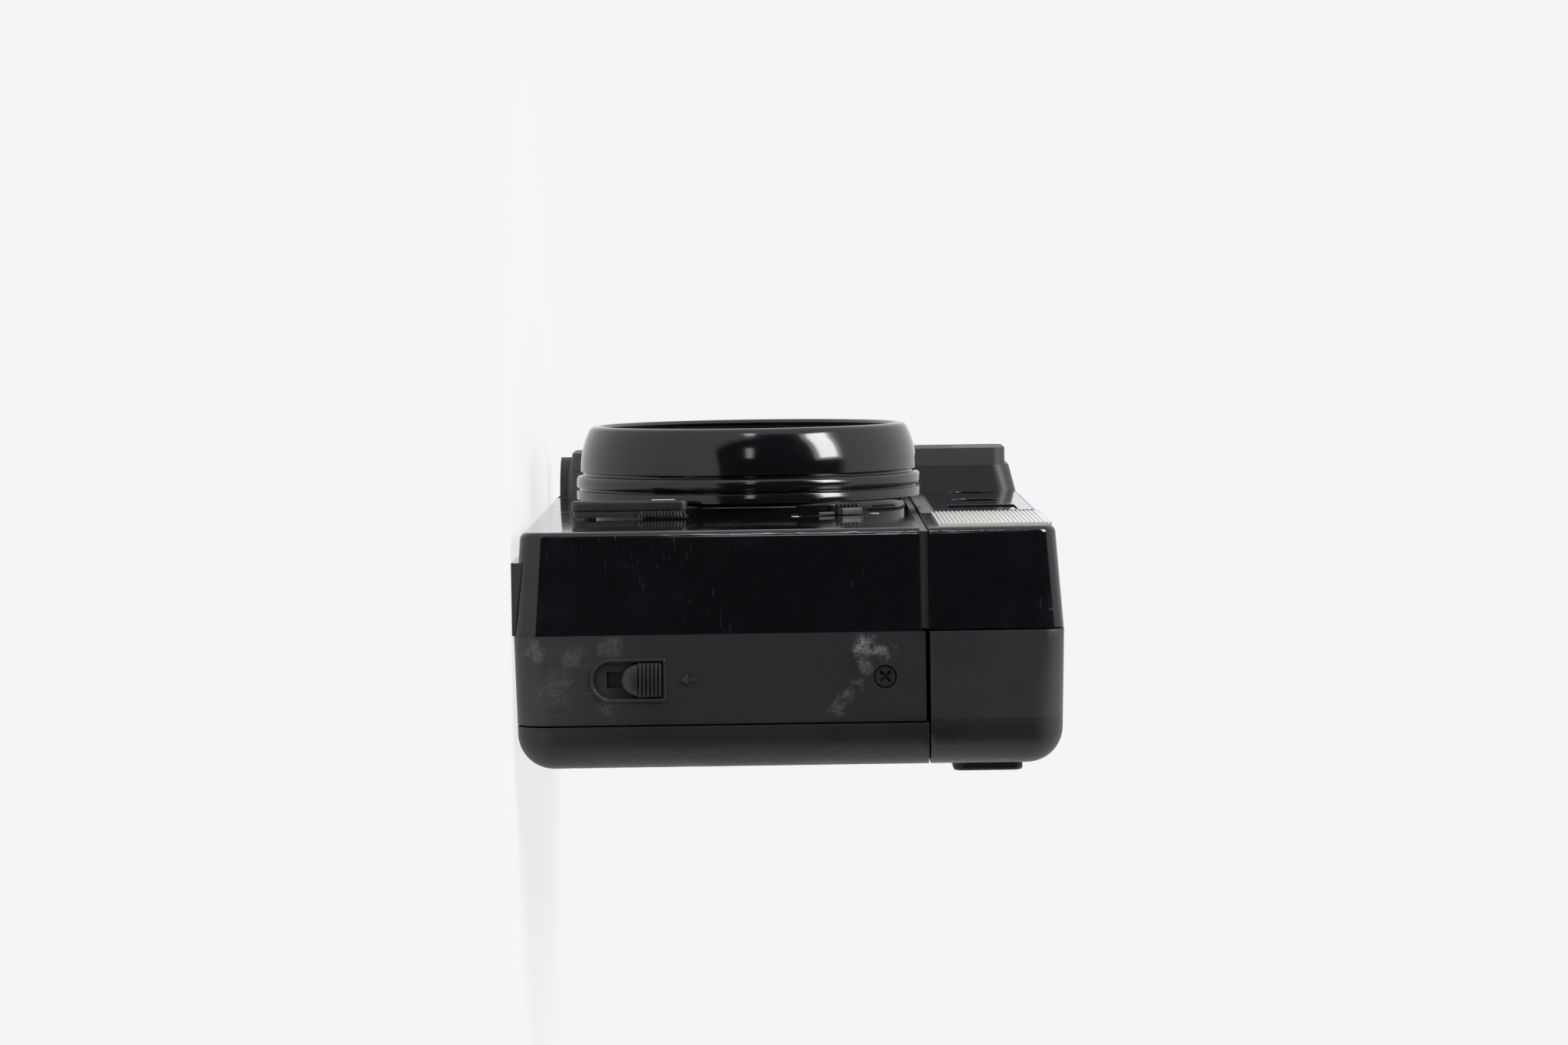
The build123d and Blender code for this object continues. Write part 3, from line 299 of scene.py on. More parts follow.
def endWear(f):
    # whitish rubbed places on the latch end, ragged and broken up
    fine = f.noise(endMarks["fineScale"], 6, 0.75)
    coarse = f.noise(endMarks["coarseScale"], 5, 0.7)
    ragged = f.warped(480, 1.9)
    total = None
    for (y, z), reach, strength in endMarks["spots"]:
        near = f.distance((endX, y, z), ragged)
        body = 1 - f.step(near, reach * 0.2, reach)
        mark = body * f.step(fine * 0.75 + coarse * 0.35 + body * 0.10, 0.56, 0.74) * strength
        total = mark if total is None else total + mark
    streaks = f.noise(260, 4, 0.7, f.turned((-14, 0, 0), (1, 4.5, 0.35)))
    lowEnd = f.distance((endX, *endMarks["streakPlace"]), ragged)
    faded = 1 - f.step(lowEnd, *endMarks["streakFade"])
    streak = f.step(streaks, 0.57, 0.70) * faded * endMarks["streakStrength"]
    return (total + streak).clamped()


def makeGloss(name, tone=(0.0044, 0.0050, 0.0060), roughness=0.06, scratches=0.69, dust=0.10, chips=()):
    # polished black moulding with hairlines, haze and a little dust
    f = Finish(name)
    lines = scratchMask(f, scratches)
    haze = f.step(f.noise(150, 4, 0.6), 0.45, 0.75)
    specks = dustMask(f, dust, 0.03)
    shade = f.tint(lines * 0.10, tone, (0.3, 0.3, 0.3))
    shade = f.tint(haze * 0.5, shade, tuple(c * 2.0 for c in tone))
    shade = f.tint(specks * 0.6, shade, (0.45, 0.45, 0.44))
    for centre, reach in chips:
        near = f.distance(centre, f.warped(500, 0.5))
        fine = f.step(f.noise(1500, 4, 0.7, f.turned((0, 0, 0), (1, 5, 0.6))), 0.5, 0.62)
        shade = f.tint((1 - f.step(near, reach * 0.5, reach)) * fine * 0.6, shade, (0.16, 0.165, 0.17))
    rough = roughness + haze * 0.05 + lines * 0.16 + specks * 0.4
    ripple = f.noise(60, 2, 0.5)
    return f.surface(Base_Color=shade, Roughness=rough.clamped(), IOR=1.5,
                     Normal=f.bump(ripple, 0.00003, 0.3))


def makeSatin(name, tone, roughness=0.32, dusty=False):
    f = Finish(name)
    grain = f.noise(7000, 2)
    cloud = f.noise(240, 3)
    shade = f.tint(f.step(cloud, 0.4, 0.7) * 0.4, tone, tuple(c * 1.5 for c in tone))
    if dusty:
        # skin dust caught in the knurling
        caught = f.step(f.noise(1500, 4, 0.7), 0.48, 0.62) * f.step(f.noise(180, 2), 0.4, 0.6)
        shade = f.tint(caught * 0.5, shade, (0.22, 0.22, 0.21))
    shade = f.tint(dustMask(f, 0.10) * 0.4, shade, (0.4, 0.4, 0.38))
    return f.surface(Base_Color=shade, Roughness=roughness + cloud * 0.12, Normal=f.bump(grain, 0.00001, 0.5))


def makeMetal(name, tone, roughness, brushed=(1, 1, 1), metallic=1.0):
    f = Finish(name)
    lines = f.noise(1400, 3, 0.6, f.turned(scale=brushed))
    cloud = f.noise(150, 3)
    shade = f.tint(f.step(cloud, 0.35, 0.75) * 0.5, tone, tuple(c * 0.75 for c in tone))
    rough = roughness + lines * 0.14
    return f.surface(Base_Color=shade, Metallic=metallic, Roughness=rough,
                     Normal=f.bump(lines, 0.000008, 0.5))


def makeTurned(name, tone, roughness, centre, pitch, depth):
    # blacked metal with fine concentric ridges about an axis along the lens
    f = Finish(name)
    x, _, z = f.axes()
    across, up = x - centre[0], z - centre[1]
    radius = (across * across + up * up).maths("SQRT")
    ridges = (radius * (2 * pi / pitch)).wave() * 0.5 + 0.5
    cloud = f.noise(300, 3)
    shade = f.tint(f.step(cloud, 0.4, 0.7) * 0.5, tone, tuple(c * 1.6 for c in tone))
    shade = f.tint(dustMask(f, 0.10) * 0.3, shade, (0.3, 0.3, 0.3))
    return f.surface(Base_Color=shade, Roughness=roughness + cloud * 0.1, Normal=f.bump(ridges, depth, 0.8))


def makeGlass(name, tone, roughness=0.02, coatTone=(0.9, 0.9, 1.0), reflectance=1.0):
    # transparent glass that shows what lies behind it, with a sheen by angle
    f = Finish(name)
    smear = f.step(f.noise(120, 3), 0.45, 0.8)
    clear = f.node("ShaderNodeBsdfTransparent", Color=tone)
    gloss = f.node("ShaderNodeBsdfGlossy", Color=coatTone, Roughness=roughness)
    # the sheen follows the facing angle alone, so that inner faces of the glass don't turn into mirrors
    facing = f.out(f.node("ShaderNodeLayerWeight", Blend=0.5), "Facing")
    squared = facing * facing
    edge = squared * squared * facing * 0.95 + 0.045
    return f.blendOf((edge * reflectance + smear * 0.01 + 0.01).clamped(), clear, gloss)


def makeDiffuser(name):
    # ribbed milky window of the flash
    f = Finish(name)
    cloud = f.noise(90, 3)
    shade = f.tint(f.step(cloud, 0.4, 0.75) * 0.5, (0.60, 0.60, 0.55), (0.50, 0.50, 0.46))
    shade = f.tint(dustMask(f, 0.08) * 0.4, shade, (0.3, 0.3, 0.28))
    return f.surface(Base_Color=shade, Roughness=0.16 + cloud * 0.05, IOR=1.49)


def makePlain(name, tone, roughness=0.5, variation=1.3, scale=400):
    f = Finish(name)
    cloud = f.noise(scale, 4, 0.6)
    shade = f.tint(f.step(cloud, 0.35, 0.7), tone, tuple(min(1.0, c * variation) for c in tone))
    return f.surface(Base_Color=shade, Roughness=roughness + cloud * 0.1, Normal=f.bump(cloud, 0.00001, 0.4))


def makeBoard(name):
    # lacquered board with its copper tracks
    f = Finish(name)
    track = f.out(f.node("ShaderNodeTexBrick", Vector=f.place, Scale=900), "Fac")
    shade = f.tint(track, (0.01, 0.10, 0.04), (0.03, 0.20, 0.08))
    return f.surface(Base_Color=shade, Roughness=0.3 + track * 0.1, Normal=f.bump(track, 0.00003, 0.5))


finishes = {
    "matte_case": makeGrained("bandBlack", (0.0148, 0.0157, 0.0167), wornEnd=True),
    "door_case": makeGrained("doorBlack", (0.0125, 0.0126, 0.0137), 0.46),
    "grip_black": makeGrained("gripBlack", (0.032, 0.031, 0.033), 0.5),
    "inner_black": makeGrained("innerBlack", (0.010, 0.010, 0.0105), 0.55),
    "gloss_case": makeGloss("polishedBlack"),
    "satin_lever": makeSatin("satinBlack", (0.013, 0.0135, 0.014)),
    "black_metal": makeMetal("blackedMetal", (0.02, 0.02, 0.022), 0.35, metallic=0.3),
    "bare_steel": makeMetal("plainSteel", (0.55, 0.55, 0.56), 0.25, (1, 1, 12)),
    "spring_steel": makeMetal("springSteel", (0.5, 0.5, 0.53), 0.2, (12, 1, 1)),
    "bright_metal": makeMetal("brightPlate", (0.82, 0.82, 0.83), 0.10),
    "brass_metal": makeMetal("brass", (0.70, 0.50, 0.20), 0.25),
    "clear_glass": makeGlass("clearGlass", (0.80, 0.84, 0.88), coatTone=(0.86, 0.90, 0.95)),
    "smoked_window": makeGlass("smokedWindow", (0.05, 0.04, 0.06)),
    "flash_diffuser": makeDiffuser("flashDiffuser"),
    "lamp_red": makePlain("redLamp", (0.45, 0.02, 0.015), 0.15, 1.4),
    "seal_foam": makePlain("sealFoam", (0.008, 0.008, 0.008), 0.9, 2.5, 3000),
    "cell_jacket": makePlain("cellJacket", (0.05, 0.05, 0.06), 0.3, 1.3),
    "board_green": makeBoard("circuitLacquer"),
    "white_plastic": makePlain("dialWhite", (0.72, 0.72, 0.70), 0.45, 1.1),
}
lensGlass = makeGlass("coatedLens", (0.70, 0.76, 0.88), coatTone=(0.30, 0.27, 0.42), reflectance=0.45)
topFinish = makeGrained("topBlack", (0.0190, 0.0200, 0.0213), seamAt=5.95)
lidFinish = makeGloss("lidBlack", chips=[((endX, -8.9, 72.0), 1.1)])
ringFinish = makeGloss("ringBlack", roughness=0.10, scratches=0.76, dust=0.01)
plateFinish = makeTurned("plateBlack", (0.012, 0.012, 0.0125), 0.38, (0.0, lensZ), 0.55, 0.00006)
leverDust = makeSatin("leverKnurl", (0.016, 0.0165, 0.017), 0.5, dusty=True)
paint = makePlain("whitePaint", (0.62, 0.64, 0.65), 0.5, 1.1, 900)
numeralInk = makePlain("numeralBlack", (0.02, 0.02, 0.02), 0.5, 1.3, 900)

for name, node in nodes.items():
    node.data.materials.clear()
    node.data.materials.append(finishes[slotOf[name]])
print("finishes:", len(finishes))


def freshVerts(bm, before):
    return [v for v in bm.verts if v not in before]


def lathe(bm, centre, axis, profile, closed=True, steps=128):
    # spins a profile of (radius, height along the axis) points about the axis
    before = set(bm.verts)
    along = Vector(axis)
    out = along.orthogonal().normalized()
    verts = [bm.verts.new(Vector(centre) + out * r + along * h) for r, h in profile]
    edges = [bm.edges.new(pair) for pair in zip(verts, verts[1:])]
    if closed:
        edges.append(bm.edges.new((verts[-1], verts[0])))
    bmesh.ops.spin(bm, geom=verts + edges, cent=centre, axis=along, dvec=(0, 0, 0), angle=2 * pi,
                   steps=steps, use_merge=True)
    return freshVerts(bm, before)


def brick(bm, near, far, soft=0.1, segments=2):
    # box between two corners with rounded edges
    before = set(bm.verts)
    made = bmesh.ops.create_cube(bm, size=1)["verts"]
    near, far = Vector(near), Vector(far)
    bmesh.ops.scale(bm, vec=far - near, verts=made)
    bmesh.ops.translate(bm, vec=(near + far) / 2, verts=made)
    if soft:
        edges = list({edge for v in made for edge in v.link_edges})
        bmesh.ops.bevel(bm, geom=edges, offset=soft, offset_type="OFFSET", affect="EDGES",
                        segments=segments, profile=0.5, material=-1)
    return freshVerts(bm, before)


def roundedPlate(bm, corners, rounding, depth, rim=0.0, rimSegments=4):
    # flat outline with rounded corners, extruded by depth, its far rim softened
    before = set(bm.verts)
    verts = [bm.verts.new(corner) for corner in corners]
    bm.faces.new(verts)
    for vert, reach in zip(verts, rounding):
        if reach:
            bmesh.ops.bevel(bm, geom=[vert], offset=reach, offset_type="OFFSET", affect="VERTICES",
                            segments=10, profile=0.5, material=-1)
    outline = [face for face in bm.faces if all(v not in before for v in face.verts)]
    lifted = bmesh.ops.extrude_face_region(bm, geom=outline)["geom"]
    moved = [item for item in lifted if isinstance(item, bmesh.types.BMVert)]
    bmesh.ops.translate(bm, vec=depth, verts=moved)
    if rim:
        top = [item for item in lifted if isinstance(item, bmesh.types.BMFace)]
        edges = list({edge for face in top for edge in face.edges})
        bmesh.ops.bevel(bm, geom=edges, offset=rim, offset_type="OFFSET", affect="EDGES",
                        segments=rimSegments, profile=0.5, material=-1)
    return freshVerts(bm, before)


def turnVerts(bm, verts, centre, axis, angle):
    bmesh.ops.rotate(bm, verts=verts, cent=centre, matrix=Matrix.Rotation(radians(angle), 3, axis))


def markSharp(bm, angle):
    for face in bm.faces:
        face.smooth = True
    for edge in bm.edges:
        edge.smooth = len(edge.link_faces) == 2 and edge.calc_face_angle(0) < radians(angle)


def addPiece(name, mesh, finish, body, replacing=None):
    mesh.materials.clear()
    mesh.materials.append(finish)
    piece = bpy.data.objects.new(name, mesh)
    bpy.context.scene.collection.objects.link(piece)
    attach(piece, body)
    if replacing:
        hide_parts(replacing)
    return piece


def newPiece(name, bm, node, finish=None, replaces=True, slot=None, sharp=34):
    # a bmesh in millimetres becomes a finished piece on the node's body
    bmesh.ops.remove_doubles(bm, verts=bm.verts, dist=0.0005)
    bmesh.ops.recalc_face_normals(bm, faces=bm.faces)
    markSharp(bm, sharp)
    bmesh.ops.scale(bm, vec=(mm, mm, mm), verts=bm.verts)
    mesh = bpy.data.meshes.new(name)
    bm.to_mesh(mesh)
    bm.free()
    slot = slot or slotOf[node]
    return addPiece(name, mesh, finish or finishes[slot], bodyOf[node], node if replaces else None)


def dressed(node, finish, soft, sharp=32):
    # a merged copy of a CAD node with softened edges
    bm = bmesh.new()
    bm.from_mesh(nodes[node].data)
    bmesh.ops.remove_doubles(bm, verts=bm.verts, dist=1e-7)
    bmesh.ops.dissolve_limit(bm, angle_limit=radians(0.3), verts=bm.verts, edges=bm.edges)
    markSharp(bm, sharp if not soft else 180)
    mesh = bpy.data.meshes.new(node + "Dressed")
    bm.to_mesh(mesh)
    bm.free()
    slot = slotOf[node]
    piece = addPiece(node + "Dressed", mesh, finish or finishes[slot], bodyOf[node], node)
    if soft:
        edge = piece.modifiers.new("softEdges", "BEVEL")
        edge.width = soft * mm
        edge.segments = 2
        edge.limit_method = "ANGLE"
        edge.angle_limit = radians(sharp)
        edge.harden_normals = True
        edge.use_clamp_overlap = True
    weights = piece.modifiers.new("flatFaces", "WEIGHTED_NORMAL")
    weights.keep_sharp = True
    return piece


dressing = {
    # carried-over nodes that show, with the softness of their edges in millimetres
    "front_cover": 0.12, "main_body": 0.10, "back_door": 0.10, "top_cover": 0.10, "flash_lid": 0.12,
    "grip": 0.15, "battery_cover": 0.10, "window_panel": 0.06, "lens_plinth": 0.0, "flash_base": 0.08,
    "strap_lug": 0.25, "eyepiece_frame": 0.0, "front_plate": 0.0, "front_element": 0.0,
    "counter_glass": 0.0, "case_screws": 0.10, "rewind_button": 0.12, "flash_carrier": 0.1,
}
special = {"top_cover": topFinish, "flash_lid": lidFinish, "front_plate": plateFinish,
           "front_element": lensGlass}
for name, softness in dressing.items():
    dressed(name, special.get(name), softness)
print("dressed nodes:", len(dressing))


lensRing = {
    "threadRadius": 21.1, "threadDepth": 0.26, "threadPitch": 0.75, "threadTurns": 3, "threadStart": 0.45,
    # heights of a tooth's two feet and of its crest between them
    "toothFeet": (0.1, 0.62), "toothCrest": 0.36,
    "sweep": [(22.0, 0.0), (22.35, 0.06), (22.66, 0.24), (22.88, 0.52), (23.05, 0.9), (23.28, 1.4),
              (23.5, 1.95), (23.68, 2.5), (23.84, 3.1), (23.98, 3.75), (24.1, 4.45), (24.17, 5.2),
              (24.2, 6.0)],
    "foot": [(24.2, 6.46), (24.15, 6.5), (23.88, 6.53), (23.85, 6.58), (23.85, 6.98), (23.9, 7.03),
             (24.5, 7.1), (24.66, 7.24), (24.78, 7.6), (24.8, 8.0), (24.8, 8.62), (24.75, 8.7), (24.43, 8.74),
             (24.4, 8.8), (24.4, 9.08), (24.45, 9.13), (24.75, 9.16), (24.8, 9.24), (24.8, 10.39),
             (18.3, 10.39)],
    "bore": [(18.3, 4.85), (21.4, 4.85), (21.4, 3.05), (21.1, 2.95)],
    "lip": [(21.1, 0.45), (21.4, 0.12), (21.65, 0.0)],
}


def makeLensRing():
    ring = lensRing
    radius, crest = ring["threadRadius"], ring["threadRadius"] + ring["threadDepth"]
    lower, upper = ring["toothFeet"]
    profile = ring["sweep"] + ring["foot"] + ring["bore"]
    for turn in range(ring["threadTurns"] - 1, -1, -1):
        h = ring["threadStart"] + turn * ring["threadPitch"]
        profile += [(radius, h + upper), (crest, h + ring["toothCrest"]), (radius, h + lower)]
    profile = [(r, ringTip + h) for r, h in profile + ring["lip"]]
    bm = bmesh.new()
    lathe(bm, (0, 0, lensZ), (0, 1, 0), profile, steps=160)
    newPiece("lensRing", bm, "lens_ring", ringFinish)


makeLensRing()

focusBarrel = {
    "face": [(10.2, -28.1), (10.14, -28.3), (10.0, -28.44), (9.55, -28.45), (9.5, -28.36), (9.44, -28.45),
             (9.15, -28.45), (9.05, -28.36), (9.0, -28.05), (8.86, -28.0), (8.84, -27.7), (8.72, -27.66),
             (8.7, -27.4), (8.6, -27.36), (8.6, -22.45), (7.6, -22.45), (7.6, -18.15), (6.0, -18.15),
             (6.0, -15.15), (10.2, -15.15)],
}


def makeFocusBarrel():
    bm = bmesh.new()
    lathe(bm, (0, 0, lensZ), (0, 1, 0), focusBarrel["face"], steps=128)
    newPiece("focusBarrelFront", bm, "focus_barrel")


makeFocusBarrel()

meterCell = {
    "height": 15.0, "inner": 1.62, "outer": 2.15, "front": -28.62, "back": -28.2,
    "glassRadius": 1.6, "glassFront": -28.5, "glassBack": -25.7,
}


def makeMeterCell():
    m = meterCell
    place = (0, 0, lensZ + m["height"])
    bm = bmesh.new()
    lathe(bm, place, (0, 1, 0), [(m["inner"], m["back"]), (m["inner"], m["front"] + 0.12),
          (m["inner"] + 0.1, m["front"]), (m["outer"] - 0.12, m["front"]), (m["outer"], m["front"] + 0.1),
          (m["outer"], m["back"] + 0.1)], steps=48)
    newPiece("meterBezel", bm, "meter_cell", replaces=False, slot="black_metal")
    bm = bmesh.new()
    tip, back, radius = m["glassFront"], m["glassBack"], m["glassRadius"]
    dome = [(0.0, tip), (0.5, tip + 0.03), (0.95, tip + 0.1), (1.3, tip + 0.2), (radius, tip + 0.36),
            (radius, back), (0.0, back)]
    lathe(bm, place, (0, 1, 0), dome, closed=False, steps=48)
    newPiece("meterGlass", bm, "meter_cell")


makeMeterCell()
print("lens ready")


timerLever = {
    "x": (24.8, 28.0), "z": (6.8, 22.9), "front": -22.25, "split": -20.93, "back": -19.95,
    "corner": 1.0, "rim": 0.42, "markX": (25.7, 27.1), "markZ": (17.9, 21.1), "knurlZ": (15.9, 22.3),
    "ridges": 15, "ridgeTilt": 16, "ridgeHalf": 0.13, "ridgeDeep": 0.45, "ridgeProud": 0.06,
    "inset": 0.22, "markLift": 0.03, "pivot": 9.2,
    "pin": [(0.0, -20.2), (0.95, -20.2), (0.95, -17.85), (2.2, -17.85), (2.2, -16.95), (0.0, -16.95)],
}


def makeTimerLever():
    t = timerLever
    (x0, x1), (z0, z1) = t["x"], t["z"]
    bm = bmesh.new()
    corners = [(x0, t["split"], z0), (x1, t["split"], z0), (x1, t["split"], z1), (x0, t["split"], z1)]
    roundedPlate(bm, corners, [t["corner"]] * 4, (0, t["front"] - t["split"], 0), t["rim"], 5)
    inset = t["inset"]
    corners = [(x0 + inset, t["back"], z0 + inset), (x1 - inset, t["back"], z0 + inset),
               (x1 - inset, t["back"], z1 - inset), (x0 + inset, t["back"], z1 - inset)]
    roundedPlate(bm, corners, [t["corner"] - 0.1] * 4, (0, t["split"] + 0.1 - t["back"], 0), 0.1, 2)
    lathe(bm, ((x0 + x1) / 2, 0, t["pivot"]), (0, 1, 0), t["pin"], closed=False, steps=32)
    newPiece("timerLever", bm, "timer_lever")
    # finger ridges on the outer side, behind the split line
    bm = bmesh.new()
    (first, last), half = t["knurlZ"], t["ridgeHalf"]
    for index in range(t["ridges"]):
        z = first + (last - first) * index / (t["ridges"] - 1)
        made = brick(bm, (x1 - t["ridgeDeep"], t["split"] + 0.16, z - half),
                     (x1 + t["ridgeProud"], t["back"] + 0.02, z + half), 0.06, 1)
        turnVerts(bm, made, (x1, t["split"], z), "X", t["ridgeTilt"])
    newPiece("leverKnurling", bm, "timer_lever", leverDust, replaces=False)
    bm = bmesh.new()
    (m0, m1), (k0, k1) = t["markX"], t["markZ"]
    corners = [(m0, t["front"], k0), (m1, t["front"], k0), (m1, t["front"], k1), (m0, t["front"], k1)]
    roundedPlate(bm, corners, [0.15] * 4, (0, -t["markLift"], 0))
    newPiece("leverMark", bm, "timer_lever", paint, replaces=False, slot="white_plastic")


makeTimerLever()

modeSelector = {
    "radius": 27.2, "angle": 30.5, "front": -20.72, "back": -19.75,
    "inward": 1.3, "outward": 1.4, "halfLength": 2.0, "corner": 0.6,
    "ridges": 6, "firstRidge": -1.55, "ridgePitch": 0.62, "ridgeHalf": 0.15, "ridgeTilt": 22,
    "ridgeProud": 0.5, "ridgeSunk": 0.15,
    # half widths of the pointer at its root and its tip
    "pointerRoot": 0.5, "pointerTip": 0.12, "pointerLength": 2.6, "pointerHeight": 0.42,
    "dotAngle": 14.0, "ringAngle": 40.6, "ringRadii": (0.42, 0.66), "markProud": 0.04, "markSunk": 0.05,
    # the hidden pin through the slot and the runner behind it
    "pin": [(0.0, -19.9), (0.3, -19.9), (0.3, -17.75), (0.0, -17.75)],
    "runnerY": (-18.05, -17.45), "runnerInward": 2.0, "runnerOutward": 1.6, "runnerHalf": 3.0,
}


def makeModeSelector():
    s = modeSelector
    r, half, back = s["radius"], s["halfLength"], s["back"]
    inner, outer = r - s["inward"], r + s["outward"]
    bm = bmesh.new()
    corners = [(inner, back, lensZ - half), (outer, back, lensZ - half),
               (outer, back, lensZ + half), (inner, back, lensZ + half)]
    roundedPlate(bm, corners, [s["corner"]] * 4, (0, s["front"] - back, 0), 0.2, 3)
    ridge, proud, sunk = s["ridgeHalf"], s["front"] - s["ridgeProud"], s["front"] + s["ridgeSunk"]
    for index in range(s["ridges"]):
        z = lensZ + s["firstRidge"] + index * s["ridgePitch"]
        made = brick(bm, (inner + 0.1, proud, z - ridge), (outer - 0.1, sunk, z + ridge), 0.1, 2)
        turnVerts(bm, made, (r, s["front"], z), "Y", s["ridgeTilt"])
    # the pointer starts inside the plate
    root, tip = lensZ - half + 0.1, lensZ - half - s["pointerLength"]
    wide, narrow = s["pointerRoot"], s["pointerTip"]
    corners = [(r - wide, back, root), (r + wide, back, root),
               (r + narrow, back, tip), (r - narrow, back, tip)]
    roundedPlate(bm, corners, [0, 0, 0.05, 0.05], (0, -s["pointerHeight"], 0), 0.1, 2)
    lathe(bm, (r, 0, lensZ), (0, 1, 0), s["pin"], closed=False, steps=24)
    (runnerFront, runnerBack), reach = s["runnerY"], s["runnerHalf"]
    brick(bm, (r - s["runnerInward"], runnerFront, lensZ - reach),
          (r + s["runnerOutward"], runnerBack, lensZ + reach), 0.08, 1)
    turnVerts(bm, bm.verts, (0, 0, lensZ), "Y", -s["angle"])
    newPiece("modeSelector", bm, "mode_selector")
    # a painted dot and a painted ring mark the selector's two places
    bm = bmesh.new()
    top, foot = frontY - s["markProud"], frontY + s["markSunk"]
    angle = radians(s["dotAngle"])
    lathe(bm, (r * cos(angle), 0, lensZ + r * sin(angle)), (0, 1, 0),
          [(0.0, top), (0.5, top), (0.56, frontY - 0.01), (0.56, foot), (0.0, foot)], closed=False, steps=32)
    angle = radians(s["ringAngle"])
    inner, outer = s["ringRadii"]
    lathe(bm, (r * cos(angle), 0, lensZ + r * sin(angle)), (0, 1, 0),
          [(inner, top), (outer, top), (outer, foot), (inner, foot)], steps=32)
    newPiece("modeDots", bm, "front_cover", paint, replaces=False, slot="white_plastic")


makeModeSelector()
print("levers ready")


latchSlider = {
    "floor": 61.2, "top": 62.3, "halfWidth": 2.3, "domeZ": 16.6, "high": 19.85,
    "ribs": 6, "ribTop": 62.42, "ribHalf": 0.17, "neckX": 60.4, "neckHalf": 0.9, "neckZ": (16.1, 18.1),
    # the dust plate behind the slot travels with the slider
    "plateX": (60.2, 60.45), "plateHalf": 1.6, "plateLow": 9.6,
}


def makeLatch():
    s = latchSlider
    floor, top, half = s["floor"], s["top"], s["halfWidth"]
    bm = bmesh.new()
    # the domed thumb end, half of a flattened ball
    dome = [(0.0, top + 0.05), (0.7, top + 0.02), (1.3, top - 0.08), (1.75, top - 0.24), (2.05, top - 0.45),
            (2.22, top - 0.7), (half, top - 0.95), (half, floor), (0.0, floor)]
    lathe(bm, (0, 0, s["domeZ"]), (1, 0, 0), dome, closed=False, steps=64)
    bmesh.ops.remove_doubles(bm, verts=bm.verts, dist=0.0005)
    bmesh.ops.bisect_plane(bm, geom=bm.verts[:] + bm.edges[:] + bm.faces[:], clear_outer=True,
                           plane_co=(0, 0, s["domeZ"]), plane_no=(0, 0, 1))
    rim = [edge for edge in bm.edges if edge.is_boundary]
    bmesh.ops.holes_fill(bm, edges=rim)
    brick(bm, (floor, -half, s["domeZ"] + 0.02), (top - 0.35, half, s["high"]), 0.12, 2)
    pitch = (s["high"] - s["domeZ"] - 0.1) / s["ribs"]
    rib = s["ribHalf"]
    for index in range(s["ribs"]):
        z = s["domeZ"] + 0.1 + (index + 0.5) * pitch
        brick(bm, (top - 0.6, 0.15 - half, z - rib), (s["ribTop"], half - 0.15, z + rib), 0.14, 3)
    (neckLow, neckHigh), neck = s["neckZ"], s["neckHalf"]
    brick(bm, (s["neckX"], -neck, neckLow), (floor + 0.1, neck, neckHigh), 0.0)
    (plateBack, plateFront), plateHalf = s["plateX"], s["plateHalf"]
    brick(bm, (plateBack, -plateHalf, s["plateLow"]), (plateFront, plateHalf, s["high"]), 0.0)
    newPiece("latchSlider", bm, "door_latch")


makeLatch()

latchSurround = {
    "halfWidth": 2.475, "low": 10.7, "high": 20.0, "upperCorner": 0.5,
    "rim": 0.42, "proud": 0.14, "soft": 0.12,
}


def makeLatchSurround():
    # raised bead all round the latch recess, its lower end an arch
    s = latchSurround
    side, foot, head = s["halfWidth"] + s["rim"], s["low"] - s["rim"], s["high"] + s["rim"]
    bm = bmesh.new()
    corners = (endX, -side, foot), (endX, side, foot), (endX, side, head), (endX, -side, head)
    verts = [bm.verts.new(corner) for corner in corners]
    bm.faces.new(verts)
    # just under half of the width rounds the lower end into one arch
    arch = side * 0.99
    for vert, reach in zip(verts, (arch, arch, s["upperCorner"], s["upperCorner"])):
        bmesh.ops.bevel(bm, geom=[vert], offset=reach, offset_type="OFFSET", affect="VERTICES", segments=16,
                        profile=0.5, material=-1)
    rim = s["rim"]
    ring = bmesh.ops.inset_individual(bm, faces=bm.faces[:], thickness=rim, use_even_offset=True)["faces"]
    bmesh.ops.delete(bm, geom=[face for face in bm.faces if face not in ring], context="FACES")
    lifted = bmesh.ops.extrude_face_region(bm, geom=bm.faces[:])["geom"]
    moved = [item for item in lifted if isinstance(item, bmesh.types.BMVert)]
    bmesh.ops.translate(bm, vec=(s["proud"], 0, 0), verts=moved)
    top = [item for item in lifted if isinstance(item, bmesh.types.BMFace)]
    edges = {edge for face in top for edge in face.edges if any(f not in top for f in edge.link_faces)}
    bmesh.ops.bevel(bm, geom=list(edges), offset=s["soft"], offset_type="OFFSET", affect="EDGES",
                    segments=4, profile=0.5, material=-1)
    newPiece("latchSurround", bm, "main_body", replaces=False)


makeLatchSurround()

endArrow = {"z": (22.3, 24.6), "head": 1.1, "halfWidth": 0.95, "stem": 0.32, "proud": 0.12}


def makeEndArrow():
    # plain raised arrow that shows which way the latch goes
    a = endArrow
    (tip, tail), half, stem = a["z"], a["halfWidth"], a["stem"]
    x, neck, lift = endX - 0.02, tip + a["head"], (a["proud"], 0, 0)
    bm = bmesh.new()
    roundedPlate(bm, [(x, 0, tip), (x, half, neck), (x, -half, neck)], [0.05] * 3, lift, 0.05, 2)
    roundedPlate(bm, [(x, -stem, neck), (x, stem, neck), (x, stem, tail), (x, -stem, tail)],
                 [0, 0, 0.1, 0.1], lift, 0.05, 2)
    newPiece("endArrow", bm, "main_body", replaces=False)


makeEndArrow()
print("latch ready")


